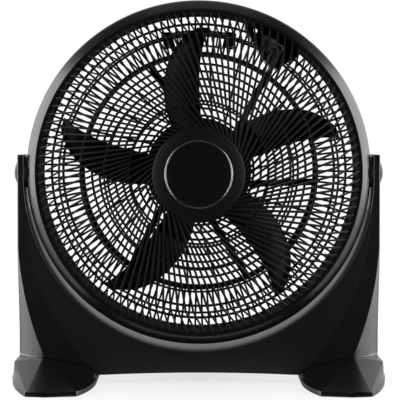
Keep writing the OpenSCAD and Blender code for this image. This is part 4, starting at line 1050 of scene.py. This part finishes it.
def buildScrews():
    h, s = handle, screws
    boxReach, boxAcross = controlBox["screws"]
    boxPlace = turned(controlBox["angle"])
    plateBack = rearForward(rear["plate"])
    feet = [(moved(side * x, y, s["footHead"]), s["bareFoot" if (x, y) == bareScrewPlace else "foot"])
            for side in (-1, 1) for x, y in footScrewPlaces]
    sets = {
        "rear_screws": [(turned(30 + 60 * i) @ moved(s["rearCircle"], 0, rear["rim"]), s["rear"])
                        for i in range(6)],
        "handle_screws": [(turned(90 + side * h["half"])
                           @ moved(h["radius"] + out * h["width"] / 4, 0, handlePad - h["foot"]), s["handle"])
                          for side in (-1, 1) for out in (-1, 1)],
        "box_screws": [(boxPlace @ moved(boxReach, side * boxAcross, controlBox["back"]), s["box"])
                       for side in (-1, 1)],
        "motor_screws": [(turned(45 + 90 * i) @ moved(s["motorCircle"], 0, plateBack), s["motor"])
                         for i in range(4)],
        "foot_screws": feet,
    }
    for node, places in sets.items():
        bm = bmesh.new()
        for place, length in places:
            addScrew(bm, place @ turned(180, "X"), s["radius"], length)
        frameOfSet = floorPlace if places is feet else fanPlace
        finishPiece(bm, node.replace("_s", "S"), node, "zinc", frameOfSet, smoothAngle=40)


buildPivotCaps()
buildScrews()
print("caps and screws done")


# Speed knob with its dial: fluted skirt, raised grip bar, white pointer line and step numbers
knob = {"radius": 17.0, "height": 15.0, "flutes": 20, "fluteDepth": 0.7, "gap": 0.3, "dial": 20.0,
        "dialThick": 1.2, "dialHole": 5.1, "steps": 4, "stepTurn": 45.0, "digit": 2.9, "bore": 3.0,
        "hollow": 11.0, "hollowDepth": 4.7, "cap": (3.2, 3.0), "grip": 4.0, "pointer": (1.1, 10.0, 0.5),
        "pointerAt": -9.4, "pointerRise": 2.9}
# here z points away from the control box's back
knobPlace = (fanPlace @ turned(controlBox["angle"])
             @ moved(controlBox["knobAt"], 0, controlBox["back"]) @ turned(180, "X"))


def buildKnob():
    k = knob
    radius, dial, thick = k["radius"], k["dial"], k["dialThick"]
    foot = thick + k["gap"]
    top = foot + k["height"]
    bore, hollow, roof = k["bore"], k["hollow"], foot + k["hollowDepth"]
    profile = [(bore, roof), (hollow, roof), (hollow, foot + 0.02), (radius - 0.2, foot + 0.02),
               (radius, foot + 0.3), (radius - 0.1, foot + 1.6), (radius - 0.7, foot + 2.4)]
    profile += [(radius - 0.7 - 0.9 * i / 8, foot + 2.4 + (k["height"] - 4.2) * i / 8) for i in range(1, 9)]
    profile += [(radius - 2.2, top - 0.7), (radius - 3.2, top - 0.15), (radius - 4.4, top),
                (2 * bore, top), (bore, top)]
    bm = bmesh.new()
    spinProfile(bm, profile, 160)
    for vert in bm.verts:
        away = math.hypot(vert.co.x, vert.co.y)
        if away > 12 and foot + 2.6 < vert.co.z < top - 0.9:
            turn = math.atan2(vert.co.y, vert.co.x)
            dip = max(0.0, math.cos(turn * k["flutes"])) ** 2 * k["fluteDepth"]
            vert.co.x *= (away - dip) / away
            vert.co.y *= (away - dip) / away
    cap, depth = k["cap"]
    bmesh.ops.create_cone(bm, cap_ends=True, segments=32, radius1=cap, radius2=cap, depth=depth,
                          matrix=moved(0, 0, top - depth / 2 - 0.05))
    grip = k["grip"]
    addMesh(bm, roundedBox((grip, 2 * radius - grip, grip), moved(0, 0, top + 1.0), 0.9, 3))
    closeUp(bm)
    finishPiece(bm, "knob", "speed_knob", "satinBlack", knobPlace, smoothAngle=30)
    pointer = roundedBox(k["pointer"], moved(0, k["pointerAt"], top + k["pointerRise"]), 0.12, 1)
    finishPiece(pointer, "knobPointer", "speed_knob", "printWhite", knobPlace)
    hole = k["dialHole"]
    plate = [(hole, 0.02), (dial - 0.2, 0.02), (dial, 0.25), (dial, thick - 0.3), (dial - 0.3, thick),
             (hole, thick)]
    turnedPiece("dialPlate", "dial_plate", "dialSilver", knobPlace, plate, 120)


def buildNumbers():
    # the steps of the speed switch, printed on the rim of the dial
    k = knob
    sense = 1 if joints["speed_knob_turn"]["axis"][1] > 0 else -1
    reach = (k["radius"] + k["dial"]) / 2
    upright = turned(controlBox["angle"] - 180)
    marks = bmesh.new()
    for step in range(k["steps"]):
        turn = math.radians(-90 + sense * step * k["stepTurn"])
        text = bpy.data.curves.new("stepNumber", "FONT")
        text.body = str(step)
        text.size = k["digit"]
        text.extrude = 0.05
        text.align_x, text.align_y = "CENTER", "CENTER"
        holder = bpy.data.objects.new("stepNumber", text)
        bpy.context.scene.collection.objects.link(holder)
        bpy.context.view_layer.update()
        mesh = bpy.data.meshes.new_from_object(holder)
        place = moved(reach * math.cos(turn), reach * math.sin(turn), k["dialThick"] + 0.04)
        mesh.transform(place @ upright)
        marks.from_mesh(mesh)
        bpy.data.objects.remove(holder)
        bpy.data.meshes.remove(mesh)
    closeUp(marks)
    finishPiece(marks, "stepNumbers", "dial_plate", "badgeBlack", knobPlace)


buildKnob()
buildNumbers()
print("knob done")


def buildHandle():
    # two bowed rails with webs between them, on legs with screwed feet
    h = handle
    inner, outer = h["radius"] - h["width"] / 2, h["radius"] + h["width"] / 2
    half = h["half"] - math.degrees((h["legIn"] - h["leg"] / 2) / h["radius"])
    back = rearForward(h["radius"]) - h["gap"] - h["grip"]
    front = back + h["grip"]
    bm = bmesh.new()
    r = h["round"]
    for low, high in ((inner, inner + h["rail"]), (outer - h["rail"], outer)):
        rail = []
        for corner, face, x, z in ((low, back, 1, 1), (high, back, -1, 1), (high, front, -1, -1),
                                   (low, front, 1, -1)):
            steps = [(0.0, r), (r / 3, r / 3), (r, 0.0)]
            steps = steps if x == z else steps[::-1]
            rail += [(corner + x * across, face + z * along) for across, along in steps]
        spinProfile(bm, rail, 60, place=turned(90 - half), sweep=2 * half)
    for i in range(1, h["webs"] + 1):
        size = (h["width"] - 2, h["web"], h["grip"] - 4)
        web = roundedBox(size, moved(h["radius"], 0, (back + front) / 2), 0.5)
        addMesh(bm, web, turned(90 - half + 2 * half * i / (h["webs"] + 1)))
    legHeight, legMiddle = handlePad - back, (handlePad + back) / 2
    for side in (-1, 1):
        leg = roundedBox((h["width"], h["leg"], legHeight), moved(h["radius"], -side * h["legIn"], legMiddle))
        foot = roundedBox((h["width"], h["footLength"], h["foot"]),
                          moved(h["radius"], -side * h["footIn"], handlePad - h["foot"] / 2))
        for block in (leg, foot):
            addMesh(bm, block, turned(90 + side * h["half"]))
    finishPiece(bm, "carryHandle", "carry_handle", "satinBlack", fanPlace)


buildHandle()
print("handle done")


# Plain pieces: copies of the frame's solids with rounded edges
# node: (finish, width of the rounding, steps, least angle of an edge, shortest edge)
softenedPieces = {
    "control_box": ("satinBlack", 1.4, 3, 40.0, 2.6),
    "channel_cover": ("satinBlack", 0.5, 2, 40.0, 2.0),
    "foot_pads": ("padRubber", 0.5, 2, 40.0, 1.0),
    "friction_washers": ("fibre", 0.25, 1, 40.0, 0.6),
    "cord_gland": ("padRubber", 0.5, 2, 40.0, 0.5),
    "switch_nut": ("zinc", 0.35, 2, 40.0, 1.5),
    "motor_cap": ("satinBlack", 0.5, 2, 30.0, 0.5),
    "spinner_nut": ("satinBlack", 0.6, 2, 40.0, 1.0),
    "run_capacitor": ("capacitorGrey", 1.2, 3, 40.0, 8.0),
    "capacitor_clip": ("zinc", 0.3, 1, 40.0, 1.0),
}
# where the painted sheen lies on the toe, and the cut along its inner edge
sheenPatch = {"inside": 241.0, "front": -33.0, "slope": 0.09, "outside": 284.0, "start": -30.0}
for node, choices in softenedPieces.items():
    softened(node, *choices)
softened("rim_clips", "satinBlack", 0.25, 2, 40.0, 0.8, back=2.8)  # set back to follow the eased edge


def onTread(at, normal, side):
    # the outer half of the toe is lighter grey with coarse grain: the grey is a painted sheen from the side lamp
    inside = sheenPatch["inside"] * mm - sheenPatch["slope"] * (at.y - sheenPatch["front"] * mm)
    return (normal.z > 0.6 and at.y < sheenPatch["start"] * mm and side * at.x > inside
            and abs(at.x) < sheenPatch["outside"] * mm)


# the feet take the darker leg finish, painted shade, and the painted-sheen patch on the toe
for side, node in ((-1, "left_foot"), (1, "right_foot")):
    edge = ((side * sheenPatch["inside"], sheenPatch["front"], 38.0), (1.0, side * sheenPatch["slope"], 0.0))
    softened(node, "legBlack", 1.3, 3, 24.0, 3.0, cuts=[edge], patches=[
        ("treadBlack", lambda at, normal, side=side: onTread(at, normal, side))])
print("softened pieces:", len(softenedPieces) + 3)


# Leads: round sleeves on the routes of the frame's square ones
leads = {"radius": 1.2, "pitch": 2.6, "start": 49.0, "end": 212.0, "lift": 9.3, "steps": 18}


def buildLeads():
    l = leads
    bm = bmesh.new()
    radii = [l["start"] + (l["end"] - l["start"]) * k / l["steps"] for k in range(l["steps"] + 1)]
    for i in (-1, 0, 1):
        sweepRound(bm, [(rear["tangent"] + i * l["pitch"], math.sqrt(r * r - rear["tangent"] ** 2),
                         rearForward(r) + l["lift"] + l["radius"]) for r in radii], l["radius"])
    closeUp(bm)
    finishPiece(bm, "motorLeads", "motor_leads", "sleeveGrey", fanPlace @ turned(rear["turn"]))


buildLeads()
print("leads done")


# Stage: pale floor that fades to white, soft boxes on either side, camera a little above the fan's axis
def emission(tree, strength):
    node = tree.nodes.new("ShaderNodeEmission")
    node.inputs["Strength"].default_value = strength
    return node.outputs[0]


def mixShader(tree, factor, first, second):
    node = tree.nodes.new("ShaderNodeMixShader")
    for number, value in enumerate((factor, first, second)):
        feed(tree, node.inputs[number], value)
    return node.outputs[0]


def floorMaterial():
    material = bpy.data.materials.new("paleFloor")
    material.use_nodes = True
    tree = material.node_tree
    shader = tree.nodes["Principled BSDF"]
    shader.inputs["Base Color"].default_value = (0.9, 0.9, 0.9, 1)
    shader.inputs["Roughness"].default_value = 0.1
    place = tree.nodes.new("ShaderNodeTexCoord").outputs["Object"]
    path = tree.nodes.new("ShaderNodeLightPath").outputs
    # to the eye the floor is white, but for its shaded middle
    reach = tree.nodes.new("ShaderNodeMapping")
    reach.inputs["Scale"].default_value = (2.9, 5.0, 1.0)
    feed(tree, reach.inputs["Vector"], place)
    near = tree.nodes.new("ShaderNodeTexGradient")
    near.gradient_type = "SPHERICAL"
    feed(tree, near.inputs["Vector"], reach.outputs["Vector"])
    white = mathNode(tree, "SUBTRACT", 1.0, mathNode(tree, "MULTIPLY", near.outputs["Fac"], 0.4))
    seen = mathNode(tree, "MULTIPLY", path["Is Camera Ray"], white)
    # in gloss the middle of the floor in front is dark
    across = mathNode(tree, "ABSOLUTE", separated(tree, place, "X"), 0.0)
    along = separated(tree, place, "Y")
    front = mathNode(tree, "LESS_THAN", along, -0.12)
    widening = mathNode(tree, "SUBTRACT", 0.33, mathNode(tree, "MULTIPLY", along, 0.8))
    centre = mathNode(tree, "LESS_THAN", across, widening)
    card = mathNode(tree, "MULTIPLY", mathNode(tree, "MULTIPLY", front, centre), path["Is Glossy Ray"])
    lit = mixShader(tree, card, shader.outputs[0], emission(tree, 0.03))
    surface = mixShader(tree, seen, lit, emission(tree, 1.0))
    feed(tree, tree.nodes["Material Output"].inputs["Surface"], surface)
    return material


def buildFloor():
    bm = bmesh.new()
    bmesh.ops.create_grid(bm, x_segments=1, y_segments=1, size=6.0)
    mesh = bpy.data.meshes.new("floor")
    bm.to_mesh(mesh)
    bm.free()
    floor = bpy.data.objects.new("floor", mesh)
    bpy.context.scene.collection.objects.link(floor)
    mesh.materials.append(floorMaterial())


def buildWorld():
    # white to the eye and in gloss from behind, dim for the rest
    world = bpy.data.worlds.new("studio")
    bpy.context.scene.world = world
    world.use_nodes = True
    tree = world.node_tree
    background = tree.nodes["Background"]
    path = tree.nodes.new("ShaderNodeLightPath").outputs
    way = tree.nodes.new("ShaderNodeTexCoord").outputs["Generated"]
    behind = mathNode(tree, "GREATER_THAN", separated(tree, way, "Y"), 0.15)
    glossyBehind = mathNode(tree, "MULTIPLY", path["Is Glossy Ray"], behind)
    white = mathNode(tree, "MAXIMUM", path["Is Camera Ray"], glossyBehind)
    white = mathNode(tree, "MAXIMUM", white, path["Is Transmission Ray"])
    ambient = mathNode(tree, "MULTIPLY", path["Is Diffuse Ray"], 0.15)
    ambient = mathNode(tree, "ADD", ambient, 0.01)
    feed(tree, background.inputs["Strength"], mathNode(tree, "MAXIMUM", white, ambient))
    background.inputs["Color"].default_value = (1.0, 1.0, 1.0, 1.0)


def addLamp(name, place, aim, size, power):
    data = bpy.data.lights.new(name, "AREA")
    data.shape = "RECTANGLE"
    data.size, data.size_y = size
    data.energy = power
    lamp = bpy.data.objects.new(name, data)
    bpy.context.scene.collection.objects.link(lamp)
    lamp.location = place
    lamp.rotation_euler = (Vector(aim) - Vector(place)).to_track_quat("-Z", "Y").to_euler()


lamps = {
    "leftBox": ((-1.68, -0.34, 0.75), (0, 0, 0.5), (1.7, 1.5), 47),
    "rightBox": ((1.68, -0.34, 0.75), (0, 0, 0.5), (1.7, 1.5), 47),
    "topFill": ((0, -0.3, 2.4), (0, 0, 0.3), (1.6, 1.2), 2.0),
}
view = {"place": (0.0, -1.364, 0.384), "pitch": 1.0, "lens": 78.03, "shift": (0.0032, -0.127)}


def buildCamera():
    data = bpy.data.cameras.new("camera")
    data.sensor_width = 36.0
    data.lens = view["lens"]
    data.shift_x, data.shift_y = view["shift"]
    camera = bpy.data.objects.new("camera", data)
    bpy.context.scene.collection.objects.link(camera)
    camera.location = view["place"]
    camera.rotation_euler = (math.radians(90 - view["pitch"]), 0, 0)
    bpy.context.scene.camera = camera


buildFloor()
buildWorld()
for name, (place, aim, size, power) in lamps.items():
    addLamp(name, place, aim, size, power)
buildCamera()
bpy.context.scene.view_settings.view_transform = "Standard"
print("stage done")
